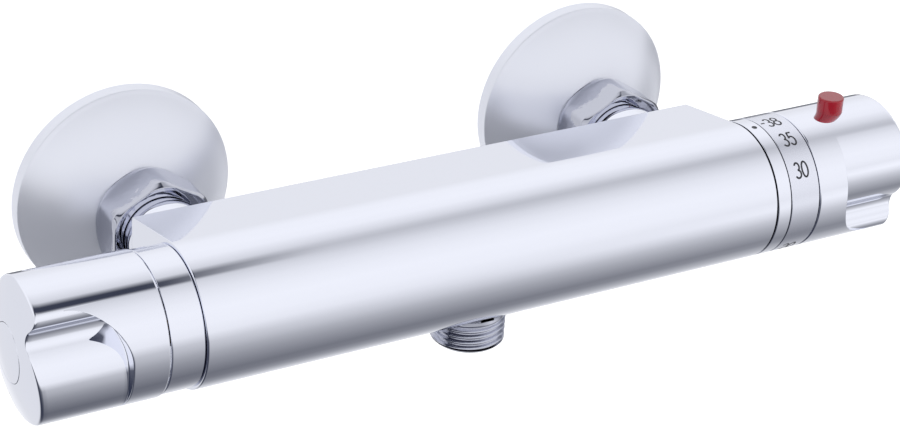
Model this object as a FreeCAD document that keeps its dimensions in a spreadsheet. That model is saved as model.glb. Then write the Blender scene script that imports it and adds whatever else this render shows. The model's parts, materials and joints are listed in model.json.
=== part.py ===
import FreeCAD, Part
import math
import os
import Sketcher

# Thermostatic bar shower valve, in millimetres.
# X runs along the bar (hot inlet at -X, cold inlet at +X), Y points into the wall, Z is up.
# The origin lies where the hot wall thread's axis meets the wall.
# Every sub-part is drawn in a frame of its own whose X axis is the axis that it is turned about,
# and is then placed on the bar, on an inlet, on the outlet or on the safety button's line.

doc = FreeCAD.newDocument("shower_valve")
sheet = doc.addObject("Spreadsheet::Sheet", "Sizes")

# alias, value, meaning
SIZES = (
    # the bar
    ("body_radius", 20.0, "radius of the bar's round front"),
    ("body_half", 89.3, "half the length of the bar casting"),
    ("back_depth", 29.0, "bar axis to the flat back of the casting"),
    ("back_half", 14.6, "half the height of the flat back"),
    ("back_round", 0.8, "rounding of the long edges at the back"),
    ("wall_gap", 71.2, "bar axis to the wall"),
    ("inlet_half", 75.0, "half the distance between the inlets"),
    ("spigot_radius", 16.0, "round spigot at each end of the casting"),
    ("spigot_length", 3.6, "length of that spigot"),
    ("edge", 0.35, "small bevel on sharp edges"),
    ("slack", 0.1, "room between two parts of one assembly"),
    ("run", 0.05, "radial running clearance of a shaft or a slide"),
    # waterways in the casting
    ("flow_bore", 13.05, "bore for the flow cartridge"),
    ("flow_floor", 48.0, "floor of that bore, from the middle"),
    ("mix_bore", 14.05, "bore for the thermostat"),
    ("mix_floor", 34.0, "floor of that bore, from the middle"),
    ("tunnel_radius", 7.0, "mixed water tunnel"),
    ("window_radius", 15.5, "ring channel round the flow cartridge"),
    ("window_start", 52.0, "inner side of that channel"),
    ("window_end", 62.0, "outer side of that channel"),
    ("gallery_radius", 4.0, "hot water gallery"),
    ("gallery_depth", 20.0, "hot gallery, behind the bar axis"),
    ("hot_port", 50.0, "where the hot gallery meets the thermostat"),
    ("port_floor", 8.0, "inner end of the ports, behind the bar axis"),
    ("inlet_thread", 10.0, "radius of the inlet tails' thread"),
    ("inlet_floor", 17.0, "floor of the inlet threads, behind the bar axis"),
    ("inlet_way", 6.8, "water way of an inlet"),
    ("drain_radius", 3.5, "outlet gallery"),
    ("drain_drop", 14.2, "outlet gallery, below the bar axis"),
    ("outlet_way", 7.0, "water way of the outlet"),
    ("outlet_roof", 10.5, "roof of the outlet way, below the bar axis"),
    ("outlet_seat", 14.0, "seat of the outlet nipple, below the bar axis"),
    # outlet nipple
    ("half_inch", 10.48, "radius of a G 1/2 male thread"),
    ("outlet_end", 28.0, "end of the outlet nipple, below the bar axis"),
    ("outlet_lead", 1.0, "lead bevel of the nipple"),
    ("outlet_shank", 10.3, "shank of the nipple inside the casting"),
    ("outlet_thread_start", 20.3, "start of the nipple's free thread, below the bar axis"),
    ("outlet_seal_wire", 0.75, "section radius of the nipple's O-ring"),
    # the rings and handles
    ("joint_gap", 0.3, "gap between casting, rings and handles"),
    ("flow_collar_radius", 19.2, "plain ring beside the flow handle"),
    ("flow_collar_end", 99.0, "outer end of that ring"),
    ("index_collar_end", 94.1, "outer end of the ring with the index dot"),
    ("collar_bore", 16.1, "bore of both fixed rings"),
    ("dial_end", 104.2, "outer end of the numbered dial ring"),
    ("dial_bore", 17.6, "bore of the dial ring"),
    ("skirt_start", 95.3, "inner end of the handle's sleeve under the dial"),
    ("skirt_radius", 17.5, "sleeve of the temperature handle under the dial"),
    ("skirt_bore", 16.3, "bore of that sleeve"),
    ("flow_handle_radius", 19.6, "radius of the flow handle"),
    ("temp_handle_radius", 20.0, "radius of the temperature handle"),
    ("handle_length", 32.9, "handle length to its rim"),
    ("dome_height", 3.8, "rise of the handle's domed end"),
    ("dome_radius", 51.9, "radius of that dome"),
    ("shell_radius", 15.0, "hollow of a handle"),
    ("shell_depth", 8.0, "depth of that hollow"),
    ("hub_radius", 9.5, "bore for the spline insert"),
    ("hub_end", 24.4, "end of that bore, from the handle's start"),
    ("web_end", 27.4, "outer face of the web that the screw pulls on"),
    ("screw_hole", 2.2, "clearance hole for the handle screw"),
    ("cap_radius", 8.0, "round end cap"),
    ("cap_depth", 2.6, "thickness of the end cap at its rim"),
    ("cap_flat", 1.0, "flat spot at the middle of the end cap"),
    # finger scallops of the handles
    ("scallop_wall", 10.1, "inner wall of a scallop, from the handle's start"),
    ("scallop_round", 15.8, "round corner of that wall"),
    ("floor_inset", 5.3, "handle radius less the radius of the scallop's floor"),
    ("floor_y", 2.2, "centre of that floor"),
    ("floor_z", -4.9, "centre of that floor"),
    ("step_foot", 6.0, "height where the floor meets its step"),
    ("step_hollow", 4.0, "hollow radius of the step"),
    ("step_nose", 3.0, "rounded nose of the step"),
    ("scallop_reach", 27.0, "how far the cutting block reaches"),
    # spline insert, screw
    ("insert_start", 6.0, "start of the insert, from the handle's start"),
    ("insert_radius", 9.4, "radius of the insert"),
    ("socket_depth", 9.0, "depth of the insert's socket"),
    ("screw_radius", 1.9, "handle screw"),
    ("screw_reach", 22.0, "length of its shank"),
    ("screw_head", 3.6, "radius of its head"),
    ("screw_head_height", 2.4, "height of its head"),
    ("screw_drive", 1.5, "half the width of its hexagon socket"),
    ("drive_depth", 1.4, "depth of that socket"),
    # spindles
    ("spindle_radius", 5.0, "spindle in its bearing"),
    ("spindle_nose", 4.5, "splined end of a spindle"),
    ("spindle_tap", 2.0, "tapped hole of a spindle"),
    ("tap_depth", 10.6, "depth of that hole"),
    ("spindle_nose_start", 101.0, "start of the splined end"),
    ("groove_root", 3.55, "root of a spindle's O-ring groove"),
    ("spindle_ring_wire", 0.68, "section radius of a spindle's O-ring"),
    ("spindle_ring_radius", 4.26, "centre radius of a spindle's O-ring"),
    ("clip_root", 4.1, "root of the clip groove"),
    ("clip_start", 98.75, "inner side of the clip groove"),
    ("clip_width", 1.0, "width of the clip groove"),
    ("clip_radius", 7.2, "radius of a retaining clip"),
    ("clip_mouth", 3.4, "half the width of the clip's mouth"),
    # flow cartridge
    ("lip_start", 48.1, "lip seal, inner end"),
    ("lip_end", 51.0, "lip seal, outer end"),
    ("lip_bore", 7.6, "bore of the lip seal"),
    ("disc_radius", 10.0, "radius of the ceramic discs"),
    ("fixed_end", 54.9, "outer face of the fixed disc"),
    ("moving_end", 58.9, "outer face of the turning disc"),
    ("port_radius", 3.0, "ports of the ceramic discs"),
    ("port_offset", 5.6, "ports, from the disc's middle"),
    ("flow_head_radius", 12.9, "outside of the flow cartridge"),
    ("flow_head_start", 51.1, "inner end of the flow cartridge"),
    ("flow_head_bore", 10.35, "inside of the flow cartridge"),
    ("flange_start", 59.1, "inner face of the flow spindle's flange"),
    ("flange_end", 63.0, "outer face of that flange"),
    ("flange_radius", 9.6, "radius of that flange"),
    ("neck_start", 63.3, "where the bearing of the flow spindle starts"),
    ("flow_ring_start", 72.0, "O-ring groove of the flow cartridge"),
    ("head_flange_radius", 15.3, "flange of both cartridges"),
    ("head_flange_end", 95.8, "outer face of that flange"),
    ("head_neck_radius", 8.1, "neck of both cartridges"),
    ("head_neck_end", 98.5, "end of that neck"),
    ("flow_window_radius", 3.2, "side windows of the flow cartridge"),
    ("groove_depth", 1.95, "depth of a cartridge's O-ring groove"),
    ("groove_width", 2.2, "width of that groove"),
    ("ring_wire", 0.95, "section radius of a cartridge O-ring"),
    # thermostat
    ("shell_start", 34.2, "inner end of the thermostat housing"),
    ("shell_end", 72.0, "outer end of the thermostat housing"),
    ("shell_outer", 13.95, "outside of the thermostat housing"),
    ("annulus_root", 11.6, "root of the ring channels"),
    ("hot_channel_start", 44.0, "hot ring channel"),
    ("hot_channel_end", 55.0, "hot ring channel"),
    ("cold_channel_start", 60.9, "cold ring channel"),
    ("cold_channel_end", 82.0, "cold ring channel"),
    ("seat_ring_start", 57.6, "O-ring between hot and cold"),
    ("end_ring_start", 40.0, "O-ring between mixed and hot"),
    ("head_ring_start", 85.5, "O-ring of the thermostat head"),
    ("slide_bore", 9.5, "bore that the shuttle slides in"),
    ("shoulder_end", 38.0, "shoulder for the return spring"),
    ("shoulder_bore", 4.8, "hole in that shoulder"),
    ("mixed_port_offset", 7.2, "mixed water ports, from the middle"),
    ("mixed_port_radius", 1.5, "mixed water ports"),
    ("hot_ring_port", 52.0, "hot ports of the housing"),
    ("cold_ring_port", 63.0, "cold ports of the housing"),
    ("ring_port_radius", 2.0, "ports of the housing"),
    ("shuttle_start", 53.0, "inner end of the shuttle"),
    ("shuttle_end", 62.0, "outer end of the shuttle"),
    ("shuttle_bore", 7.9, "inside of the shuttle"),
    ("web_start", 57.1, "web of the shuttle"),
    ("web_close", 58.5, "web of the shuttle"),
    ("web_hole", 2.9, "hole of that web"),
    ("web_port_radius", 1.1, "water ports of that web"),
    ("web_port_offset", 5.5, "water ports of that web"),
    ("wax_start", 36.2, "inner end of the wax element"),
    ("wax_radius", 4.2, "radius of the wax element"),
    ("wax_flange_start", 55.0, "flange of the wax element"),
    ("wax_flange_end", 57.0, "flange of the wax element"),
    ("wax_flange_radius", 6.4, "flange of the wax element"),
    ("wax_stem_radius", 2.8, "stem of the wax element"),
    ("wax_stem_end", 63.0, "end of that stem"),
    ("piston_radius", 1.4, "piston of the wax element"),
    ("piston_start", 59.0, "inner end of the piston"),
    ("piston_well", 57.4, "floor of the piston's hole in the element"),
    ("piston_end", 70.0, "outer end of the piston"),
    ("cup_start", 70.1, "spring cup on the piston"),
    ("cup_end", 71.3, "spring cup on the piston"),
    ("cup_radius", 5.9, "radius of the spring cup"),
    ("nut_start", 68.0, "inner end of the regulating nut"),
    ("nut_end", 82.0, "outer end of the regulating nut"),
    ("nut_radius", 7.8, "radius of the regulating nut"),
    ("nut_hollow", 6.3, "hollow of the regulating nut"),
    ("nut_floor", 78.0, "floor of that hollow"),
    ("nut_thread", 3.1, "thread of the regulating nut"),
    ("head_start", 72.1, "inner end of the thermostat head"),
    ("head_bore", 8.2, "bore for the regulating nut"),
    ("head_bore_end", 84.6, "end of that bore"),
    ("temp_tip_start", 76.5, "threaded tip of the temperature spindle"),
    ("temp_tip_radius", 3.0, "threaded tip of the temperature spindle"),
    ("temp_flange_start", 83.2, "thrust flange of the temperature spindle"),
    ("temp_flange_radius", 7.4, "thrust flange of the temperature spindle"),
    ("stop_start", 95.9, "safety stop ring"),
    ("stop_end", 98.9, "safety stop ring"),
    ("stop_radius", 13.0, "safety stop ring"),
    ("stop_bore", 8.3, "safety stop ring"),
    ("stop_lug", 15.4, "reach of its lug"),
    ("stop_lug_half", 2.6, "half the width of its lug"),
    # safety button
    ("button_x", 119.9, "button, from the middle of the bar"),
    ("button_radius", 3.8, "radius of the safety button"),
    ("button_top", 24.3, "top of the button, above the bar axis"),
    ("button_foot", 14.0, "foot of the button"),
    ("button_hollow", 2.9, "spring pocket in the button"),
    ("button_roof", 19.0, "roof of that pocket"),
    ("button_floor", 10.7, "floor of the button's hole in the handle"),
    # springs: mean radius, wire radius, ends
    ("return_coil", 5.3, "return spring"),
    ("return_wire", 0.4, "return spring"),
    ("return_start", 38.1, "return spring"),
    ("return_end", 54.9, "return spring"),
    ("over_coil", 4.9, "overtravel spring"),
    ("over_wire", 0.5, "overtravel spring"),
    ("over_start", 71.4, "overtravel spring"),
    ("over_end", 77.9, "overtravel spring"),
    ("button_coil", 2.3, "button spring"),
    ("button_wire", 0.25, "button spring"),
    ("button_spring_start", 10.8, "button spring"),
    ("button_spring_end", 18.9, "button spring"),
    ("check_coil", 3.2, "check valve spring"),
    ("check_wire", 0.25, "check valve spring"),
    ("check_spring_start", 32.5, "check valve spring"),
    ("check_spring_end", 38.4, "check valve spring"),
    # inlet tails, union nuts and check valves; distances are from the bar axis
    ("tail_start", 17.1, "inner end of the inlet tail"),
    ("tail_thread", 9.95, "thread of the tail in the casting"),
    ("tail_neck", 12.0, "round neck behind the casting"),
    ("tail_neck_start", 29.1, "start of that neck"),
    ("tail_neck_end", 38.5, "end of that neck"),
    ("tail_tube", 10.9, "tube through the union nut"),
    ("tail_flange_start", 44.0, "flange that the nut pulls on"),
    ("tail_flange_end", 46.5, "flange that the nut pulls on"),
    ("tail_flange_radius", 13.0, "flange that the nut pulls on"),
    ("tail_bore", 8.05, "bore of the tail"),
    ("tail_shoulder", 29.5, "where that bore narrows"),
    ("nut_front", 40.4, "front of the union nut"),
    ("nut_back", 53.6, "back of the union nut"),
    ("nut_flat", 14.4, "half the width across flats"),
    ("nut_corner", 15.8, "corner radius of the union nut"),
    ("nut_face", 14.7, "radius of the nut's front face"),
    ("nut_recess", 13.6, "recess in the nut's front"),
    ("nut_recess_end", 42.0, "floor of that recess"),
    ("nut_lip", 11.1, "hole that the tail passes"),
    ("nut_lip_end", 43.9, "inner face of the nut's lip"),
    ("nut_female", 13.35, "female thread of the nut"),
    ("front_bevel", 1.8, "length of the nut's front bevel"),
    ("back_bevel", 2.6, "length of the nut's back bevel"),
    ("washer_start", 46.6, "filter washer"),
    ("washer_end", 48.6, "filter washer"),
    ("washer_radius", 12.9, "filter washer"),
    ("screen_start", 47.4, "filter screen in the washer"),
    ("screen_end", 47.8, "filter screen in the washer"),
    ("screen_hole", 0.8, "holes of the screen"),
    ("screen_pitch", 2.2, "rows of holes of the screen"),
    ("check_start", 30.0, "check valve cartridge"),
    ("check_end", 45.0, "check valve cartridge"),
    ("check_radius", 7.95, "check valve cartridge"),
    ("check_bore", 6.2, "bore of the cartridge"),
    ("check_seat", 41.0, "seat of the poppet"),
    ("check_seat_bore", 4.4, "hole of that seat"),
    ("guide_end", 32.2, "guide of the poppet"),
    ("guide_bore", 1.25, "hole of that guide"),
    ("guide_port", 1.7, "water ports of the guide"),
    ("guide_port_offset", 4.0, "water ports of the guide"),
    ("poppet_head_start", 38.6, "head of the poppet"),
    ("poppet_head_end", 40.8, "head of the poppet"),
    ("poppet_radius", 5.2, "head of the poppet"),
    ("poppet_stem", 1.2, "stem of the poppet"),
    ("poppet_stem_start", 30.6, "stem of the poppet"),
    # wall connectors and wall plates
    ("union_start", 48.7, "front end of the wall connector"),
    ("union_thread", 13.2, "front thread of the wall connector"),
    ("union_thread_end", 57.6, "front thread of the wall connector"),
    ("union_groove", 12.2, "runout of that thread"),
    ("union_groove_end", 59.2, "runout of that thread"),
    ("union_hex", 13.6, "spanner ring of the wall connector"),
    ("union_hex_end", 64.0, "spanner ring of the wall connector"),
    ("union_end", 86.2, "end of the wall thread"),
    ("union_bore", 7.2, "bore of the wall connector"),
    ("union_lead", 1.2, "lead bevel of the wall thread"),
    ("plate_radius", 32.2, "radius of the wall plate"),
    ("plate_band", 4.2, "depth of the plate's rim band"),
    ("plate_bevel", 1.1, "bevel in front of that band"),
    ("plate_front", 53.9, "front of the plate at its hole"),
    ("plate_hole", 13.9, "hole of the wall plate"),
    ("plate_wall", 1.3, "thickness of the wall plate"),
    ("plate_dome", 45.0, "radius of the plate's dome"),
    ("foam_outer", 30.6, "foam seal behind the wall plate"),
    ("foam_inner", 26.5, "foam seal behind the wall plate"),
    ("foam_depth", 2.0, "foam seal behind the wall plate"),
)

for row, (alias, value, meaning) in enumerate(SIZES, start=1):
    sheet.set("A%d" % row, alias)
    sheet.set("B%d" % row, "%g" % value)
    sheet.set("C%d" % row, meaning)
    sheet.setAlias("B%d" % row, alias)
doc.recompute()


class Size:
    """A length with the spreadsheet formula that gives it."""

    def __init__(self, value, formula):
        self.value = value
        self.formula = formula

    def _join(self, sign, other, value):
        text = other.formula if isinstance(other, Size) else "%g" % other
        return Size(value, "(%s %s %s)" % (self.formula, sign, text))

    def __add__(self, other):
        return self._join("+", other, self.value + plain(other))

    def __sub__(self, other):
        return self._join("-", other, self.value - plain(other))

    def __mul__(self, other):
        return self._join("*", other, self.value * plain(other))

    def __neg__(self):
        return Size(-self.value, "(0 - %s)" % self.formula)


def plain(length):
    """The number behind a Size, or the number itself."""
    return length.value if isinstance(length, Size) else float(length)


VALUES = {alias: value for alias, value, meaning in SIZES}


def size(alias):
    return Size(VALUES[alias], "Sizes." + alias)


ZERO = Size(0.0, "0")


# ---------------------------------------------------------------- sketches and features

class Arc:
    """An arc to a corner; left is True when its centre lies left of the way there."""

    def __init__(self, radius, left):
        self.radius = radius
        self.left = left


def arc_shape(start, end, arc):
    """The minor arc between two points, and whether it runs anticlockwise."""
    chord = end - start
    half = chord.Length / 2
    rise = math.sqrt(max(plain(arc.radius) ** 2 - half ** 2, 0.0))
    normal = FreeCAD.Vector(-chord.y, chord.x, 0).normalize()
    side = 1 if arc.left else -1
    centre = (start + end) * 0.5 + normal * (rise * side)
    first, last = (start, end) if arc.left else (end, start)
    begin = math.atan2(first.y - centre.y, first.x - centre.x)
    finish = math.atan2(last.y - centre.y, last.x - centre.x)
    circle = Part.Circle(centre, FreeCAD.Vector(0, 0, 1), plain(arc.radius))
    return Part.ArcOfCircle(circle, begin, finish)


def pin_point(sketch, edge, end, x, y):
    """Holds one end of an edge at the sheet's distances from the sketch's origin."""
    for kind, length in (("DistanceX", x), ("DistanceY", y)):
        at = sketch.addConstraint(Sketcher.Constraint(kind, -1, 1, edge, end, length.value))
        sketch.setExpression("Constraints[%d]" % at, length.formula)


def draw_outline(sketch, corners):
    """Draws a closed outline. A corner is (x, y), or (x, y, Arc) for an arc that ends there."""
    first_edge = sketch.GeometryCount
    points = [FreeCAD.Vector(corner[0].value, corner[1].value, 0) for corner in corners]
    count = len(corners)
    ends = []
    for number in range(count):
        target = (number + 1) % count
        start, end = points[number], points[target]
        if len(corners[target]) > 2:
            arc = corners[target][2]
            edge = sketch.addGeometry(arc_shape(start, end, arc), False)
            at = sketch.addConstraint(Sketcher.Constraint("Radius", edge, arc.radius.value))
            sketch.setExpression("Constraints[%d]" % at, arc.radius.formula)
            ends.append((1, 2) if arc.left else (2, 1))
        else:
            sketch.addGeometry(Part.LineSegment(start, end), False)
            ends.append((1, 2))
    for number in range(count):
        before = (number - 1) % count
        join = Sketcher.Constraint(
            "Coincident", first_edge + before, ends[before][1], first_edge + number, ends[number][0])
        sketch.addConstraint(join)
        x, y = corners[number][0], corners[number][1]
        pin_point(sketch, first_edge + number, ends[number][0], x, y)


def draw_circle(sketch, x, y, radius):
    """Draws a circle whose centre and radius follow the sheet."""
    centre = FreeCAD.Vector(x.value, y.value, 0)
    edge = sketch.addGeometry(Part.Circle(centre, FreeCAD.Vector(0, 0, 1), radius.value), False)
    at = sketch.addConstraint(Sketcher.Constraint("Radius", edge, radius.value))
    sketch.setExpression("Constraints[%d]" % at, radius.formula)
    pin_point(sketch, edge, 3, x, y)


def draw_hexagon(sketch, half_width):
    """Draws a hexagon with two corners up and down, by half its width across flats."""
    corner = half_width * (2 / math.sqrt(3))
    upright = [(ZERO, corner), (-half_width, corner * 0.5), (-half_width, corner * -0.5),
               (ZERO, -corner), (half_width, corner * -0.5), (half_width, corner * 0.5)]
    draw_outline(sketch, upright)


def box_corners(left, right, low, high):
    return [(left, low), (right, low), (right, high), (left, high)]


def new_body(label):
    body = doc.addObject("PartDesign::Body", label)
    body.Label = label
    return body


def sketch_on(body, role, offset=ZERO):
    """A sketch on one of the body's own origin planes, moved along the plane's normal."""
    sketch = body.newObject("Sketcher::SketchObject", body.Label + "_sketch")
    support = [plane for plane in body.Origin.OriginFeatures if plane.Role == role][0]
    sketch.AttachmentSupport = [(support, "")]
    sketch.MapMode = "FlatFace"
    sketch.setExpression("AttachmentOffset.Base.z", offset.formula)
    return sketch


def feature(body, kind, sketch, **settings):
    """Adds a sketch-based feature and makes it the body's tip."""
    made = body.newObject("PartDesign::" + kind, "%s_%s" % (body.Label, kind.lower()))
    made.Profile = sketch
    for name, value in settings.items():
        if isinstance(value, Size):
            setattr(made, name, value.value)
            made.setExpression(name, value.formula)
        else:
            setattr(made, name, value)
    sketch.Visibility = False
    body.Tip = made
    return made


def turn(body, corners, kind="Revolution"):
    """Turns an outline of (distance along X, radius) corners about the body's X axis."""
    sketch = sketch_on(body, "XZ_Plane")
    draw_outline(sketch, corners)
    made = body.newObject("PartDesign::" + kind, "%s_%s" % (body.Label, kind.lower()))
    made.Profile = sketch
    made.ReferenceAxis = (sketch, ["H_Axis"])
    made.Angle = 360.0
    sketch.Visibility = False
    body.Tip = made
    return made


def drill(body, role, offset, circles, length, forward=True):
    """Cuts round holes from a plane; forward cuts towards the plane's normal."""
    sketch = sketch_on(body, role, offset)
    for x, y, radius in circles:
        draw_circle(sketch, x, y, radius)
    return feature(body, "Pocket", sketch, Length=length, Reversed=forward)


def repeat_round(body, made, count):
    """Repeats a feature about the body's X axis."""
    pattern = body.newObject("PartDesign::PolarPattern", body.Label + "_ring")
    pattern.Originals = [made]
    axis = [line for line in body.Origin.OriginFeatures if line.Role == "X_Axis"][0]
    pattern.Axis = (axis, [""])
    pattern.Angle = 360.0
    pattern.Occurrences = count
    body.Tip = pattern
    return pattern


# ---------------------------------------------------------------- places

AXIS_Y = -size("wall_gap")
ALONG = FreeCAD.Rotation()
TURNED = FreeCAD.Rotation(FreeCAD.Vector(0, 0, 1), 180)
TO_WALL = FreeCAD.Rotation(FreeCAD.Vector(0, 0, 1), 90)
DOWN = FreeCAD.Rotation(FreeCAD.Vector(0, 1, 0), 90)
UP = FreeCAD.Rotation(FreeCAD.Vector(0, 1, 0), -90)


def place(item, rotation, x=ZERO):
    """Stands an item's frame on the bar's axis, x from the bar's middle, turned by the rotation."""
    from_hot = x + size("inlet_half")
    item.Placement = FreeCAD.Placement(
        FreeCAD.Vector(from_hot.value, AXIS_Y.value, 0), rotation)
    item.setExpression("Placement.Base.x", from_hot.formula)
    item.setExpression("Placement.Base.y", AXIS_Y.formula)


def turned(label, corners, rotation, x=ZERO):
    """A sub-part that is one turned solid."""
    body = new_body(label)
    turn(body, corners)
    place(body, rotation, x)


def tube(start, end, inner, outer):
    """The outline of a plain sleeve or washer."""
    return box_corners(start, end, inner, outer)


def sleeve(start, end, inner, outer, bevel):
    """A sleeve with both outer edges bevelled."""
    return [(start, inner), (end, inner), (end, outer - bevel), (end - bevel, outer),
            (start + bevel, outer), (start, outer - bevel)]


# ---------------------------------------------------------------- the casting

def casting_section(body):
    """Front circle, two flat flanks that touch it, and the flat back."""
    sketch = sketch_on(body, "YZ_Plane")
    radius, depth, half = size("body_radius"), size("back_depth"), size("back_half")
    reach = math.hypot(depth.value, half.value)
    tilt = math.atan2(half.value, depth.value) + math.acos(radius.value / reach)
    middle = FreeCAD.Vector(0, 0, 0)
    touch = FreeCAD.Vector(math.cos(tilt), math.sin(tilt), 0) * radius.value
    mirror = FreeCAD.Vector(touch.x, -touch.y, 0)
    upper = FreeCAD.Vector(depth.value, half.value, 0)
    lower = FreeCAD.Vector(depth.value, -half.value, 0)
    circle = Part.Circle(middle, FreeCAD.Vector(0, 0, 1), radius.value)
    front = sketch.addGeometry(Part.ArcOfCircle(circle, tilt, 2 * math.pi - tilt), False)
    foot = sketch.addGeometry(Part.LineSegment(mirror, lower), False)
    back = sketch.addGeometry(Part.LineSegment(lower, upper), False)
    roof = sketch.addGeometry(Part.LineSegment(upper, touch), False)
    sketch.addConstraint(Sketcher.Constraint("Coincident", front, 3, -1, 1))
    at = sketch.addConstraint(Sketcher.Constraint("Radius", front, radius.value))
    sketch.setExpression("Constraints[%d]" % at, radius.formula)
    sketch.addConstraint(Sketcher.Constraint("Tangent", roof, 2, front, 1))
    sketch.addConstraint(Sketcher.Constraint("Tangent", front, 2, foot, 1))
    sketch.addConstraint(Sketcher.Constraint("Coincident", foot, 2, back, 1))
    sketch.addConstraint(Sketcher.Constraint("Coincident", back, 2, roof, 1))
    pin_point(sketch, back, 1, depth, -half)
    pin_point(sketch, back, 2, depth, half)
    return sketch


def round_back(body, pad):
    """Rounds the two long edges along the flat back."""
    doc.recompute()
    depth = size("back_depth").value
    names = ["Edge%d" % number for number, edge in enumerate(pad.Shape.Edges, start=1)
             if edge.Length > depth * 2 and min(v.Y for v in edge.Vertexes) > depth - 0.01]
    fillet = body.newObject("PartDesign::Fillet", body.Label + "_fillet")
    fillet.Base = (pad, names)
    fillet.setExpression("Radius", "Sizes.back_round")
    body.Tip = fillet


def make_casting():
    body = new_body("valve_body")
    end = size("body_half") + size("spigot_length")
    clear = end + 1
    bar = feature(body, "Pad", casting_section(body), Length=size("body_half") * 2, Midplane=True)
    round_back(body, bar)
    spigots = sketch_on(body, "YZ_Plane")
    draw_circle(spigots, ZERO, ZERO, size("spigot_radius"))
    feature(body, "Pad", spigots, Length=end * 2, Midplane=True)
    turn(body, [
        (-clear, ZERO), (-clear, size("flow_bore")),
        (-size("window_end"), size("flow_bore")), (-size("window_end"), size("window_radius")),
        (-size("window_start"), size("window_radius")), (-size("window_start"), size("flow_bore")),
        (-size("flow_floor"), size("flow_bore")), (-size("flow_floor"), size("tunnel_radius")),
        (size("mix_floor"), size("tunnel_radius")), (size("mix_floor"), size("mix_bore")),
        (clear, size("mix_bore")), (clear, ZERO)], "Groove")
    inlet = size("inlet_half")
    thread = size("inlet_thread")
    # the XZ plane looks towards -Y, so a hole to the back cuts against its normal
    drill(body, "XZ_Plane", -size("inlet_floor"),
          [(inlet, ZERO, thread), (-inlet, ZERO, thread)], size("wall_gap"), forward=False)
    drill(body, "XZ_Plane", -size("port_floor"),
          [(inlet, ZERO, size("inlet_way"))], size("wall_gap"), forward=False)
    drill(body, "XZ_Plane", -size("port_floor"),
          [(size("hot_port"), ZERO, size("gallery_radius"))],
          size("gallery_depth") - size("port_floor"), forward=False)
    drill(body, "YZ_Plane", -inlet, [(size("gallery_depth"), ZERO, size("gallery_radius"))],
          inlet + size("hot_port"))
    drill(body, "YZ_Plane", -size("window_end"),
          [(ZERO, -size("drain_drop"), size("drain_radius"))], size("window_end"))
    for roof, radius in ((size("outlet_roof"), size("outlet_way")),
                         (size("outlet_seat"), size("half_inch") + size("slack"))):
        drill(body, "XY_Plane", -roof, [(ZERO, ZERO, radius)], size("wall_gap"), forward=False)
    place(body, ALONG)


def make_outlet():
    bevel, end = size("outlet_lead"), size("outlet_end")
    seat, wire = size("outlet_seat"), size("outlet_seal_wire")
    radius, way, shank = size("half_inch"), size("outlet_way"), size("outlet_shank")
    groove = seat + wire * 2 + size("slack") * 2
    root = shank - wire * 2 - size("slack")
    start = size("outlet_thread_start")
    turned("outlet_nipple", [
        (seat + size("slack"), way), (end, way), (end, radius - bevel), (end - bevel, radius),
        (start, radius), (start, shank), (groove, shank), (groove, root),
        (seat + size("slack"), root)], DOWN)
    ring("outlet_nipple_seal", seat + wire + size("slack"), shank - wire, wire, DOWN)


def ring(label, along, radius, wire, rotation):
    """An O-ring about an axis, `along` its own X axis from the frame's origin."""
    body = new_body(label)
    sketch = sketch_on(body, "XZ_Plane")
    draw_circle(sketch, along, radius, wire)
    made = body.newObject("PartDesign::Revolution", label + "_revolution")
    made.Profile = sketch
    made.ReferenceAxis = (sketch, ["H_Axis"])
    made.Angle = 360.0
    sketch.Visibility = False
    body.Tip = made
    place(body, rotation)


# ---------------------------------------------------------------- springs

def helix_point(radius, pitch, start, angle):
    """A point of a helix about X and its direction, at an angle in radians."""
    point = FreeCAD.Vector(
        start + pitch * angle / (2 * math.pi), radius * math.cos(angle), radius * math.sin(angle))
    heading = FreeCAD.Vector(
        pitch / (2 * math.pi), -radius * math.sin(angle), radius * math.cos(angle)).normalize()
    return point, heading


def arc_by_tangent(start, elbow, end):
    """The arc from start to end whose end tangents meet at the elbow."""
    middle = (start + end) * 0.5
    half = (end - start).Length / 2
    slope = math.acos(half / (elbow - start).Length)
    share = math.tan(slope / 2) / math.tan(slope)
    return Part.Arc(start, middle + (elbow - middle) * share, end).toShape()


def biarc(start, heading, end, heading_end):
    """Two arcs that leave and arrive along the given headings and share a tangent."""
    gap = end - start
    both = heading + heading_end
    bend = 2 * (1 - heading.dot(heading_end))
    along = gap.dot(both)
    reach = (math.sqrt(along ** 2 + bend * gap.dot(gap)) - along) / bend
    elbow = start + heading * reach
    elbow_end = end - heading_end * reach
    joint = (elbow + elbow_end) * 0.5
    return [arc_by_tangent(start, elbow, joint), arc_by_tangent(joint, elbow_end, end)]


def least_gap(path, wire, turn_length):
    """Least clear distance between turns, measured on points along the wire's path."""
    points = path.discretize(Distance=wire)
    skip = int(turn_length / wire / 2)
    gaps = [(points[i] - points[j]).Length
            for i in range(len(points)) for j in range(i + skip, len(points))]
    return min(gaps) - 2 * wire


def make_spring(label, prefix, ends, turns, rotation, x=ZERO):
    """A round wire coil about the frame's X axis, as one unbroken tube."""
    coil, wire = VALUES[prefix + "_coil"], VALUES[prefix + "_wire"]
    start, end = VALUES[ends + "_start"] + wire, VALUES[ends + "_end"] - wire
    pitch = (end - start) / turns
    quarter = math.pi / 2
    edges = []
    for number in range(int(turns * 4)):
        point, heading = helix_point(coil, pitch, start, number * quarter)
        target, arrival = helix_point(coil, pitch, start, (number + 1) * quarter)
        edges += biarc(point, heading, target, arrival)
    path = Part.Wire(edges)
    first, heading = helix_point(coil, pitch, start, 0)
    section = Part.Wire(Part.makeCircle(wire, first, heading))
    spring = doc.addObject("Part::Feature", label)
    spring.Label = label
    spring.Shape = path.makePipeShell([section], True, False)
    place(spring, rotation, x)
    gap = least_gap(path, wire, 2 * math.pi * coil)
    print("%s: least gap between turns %.2f mm" % (label, gap))


# ---------------------------------------------------------------- handles

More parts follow.
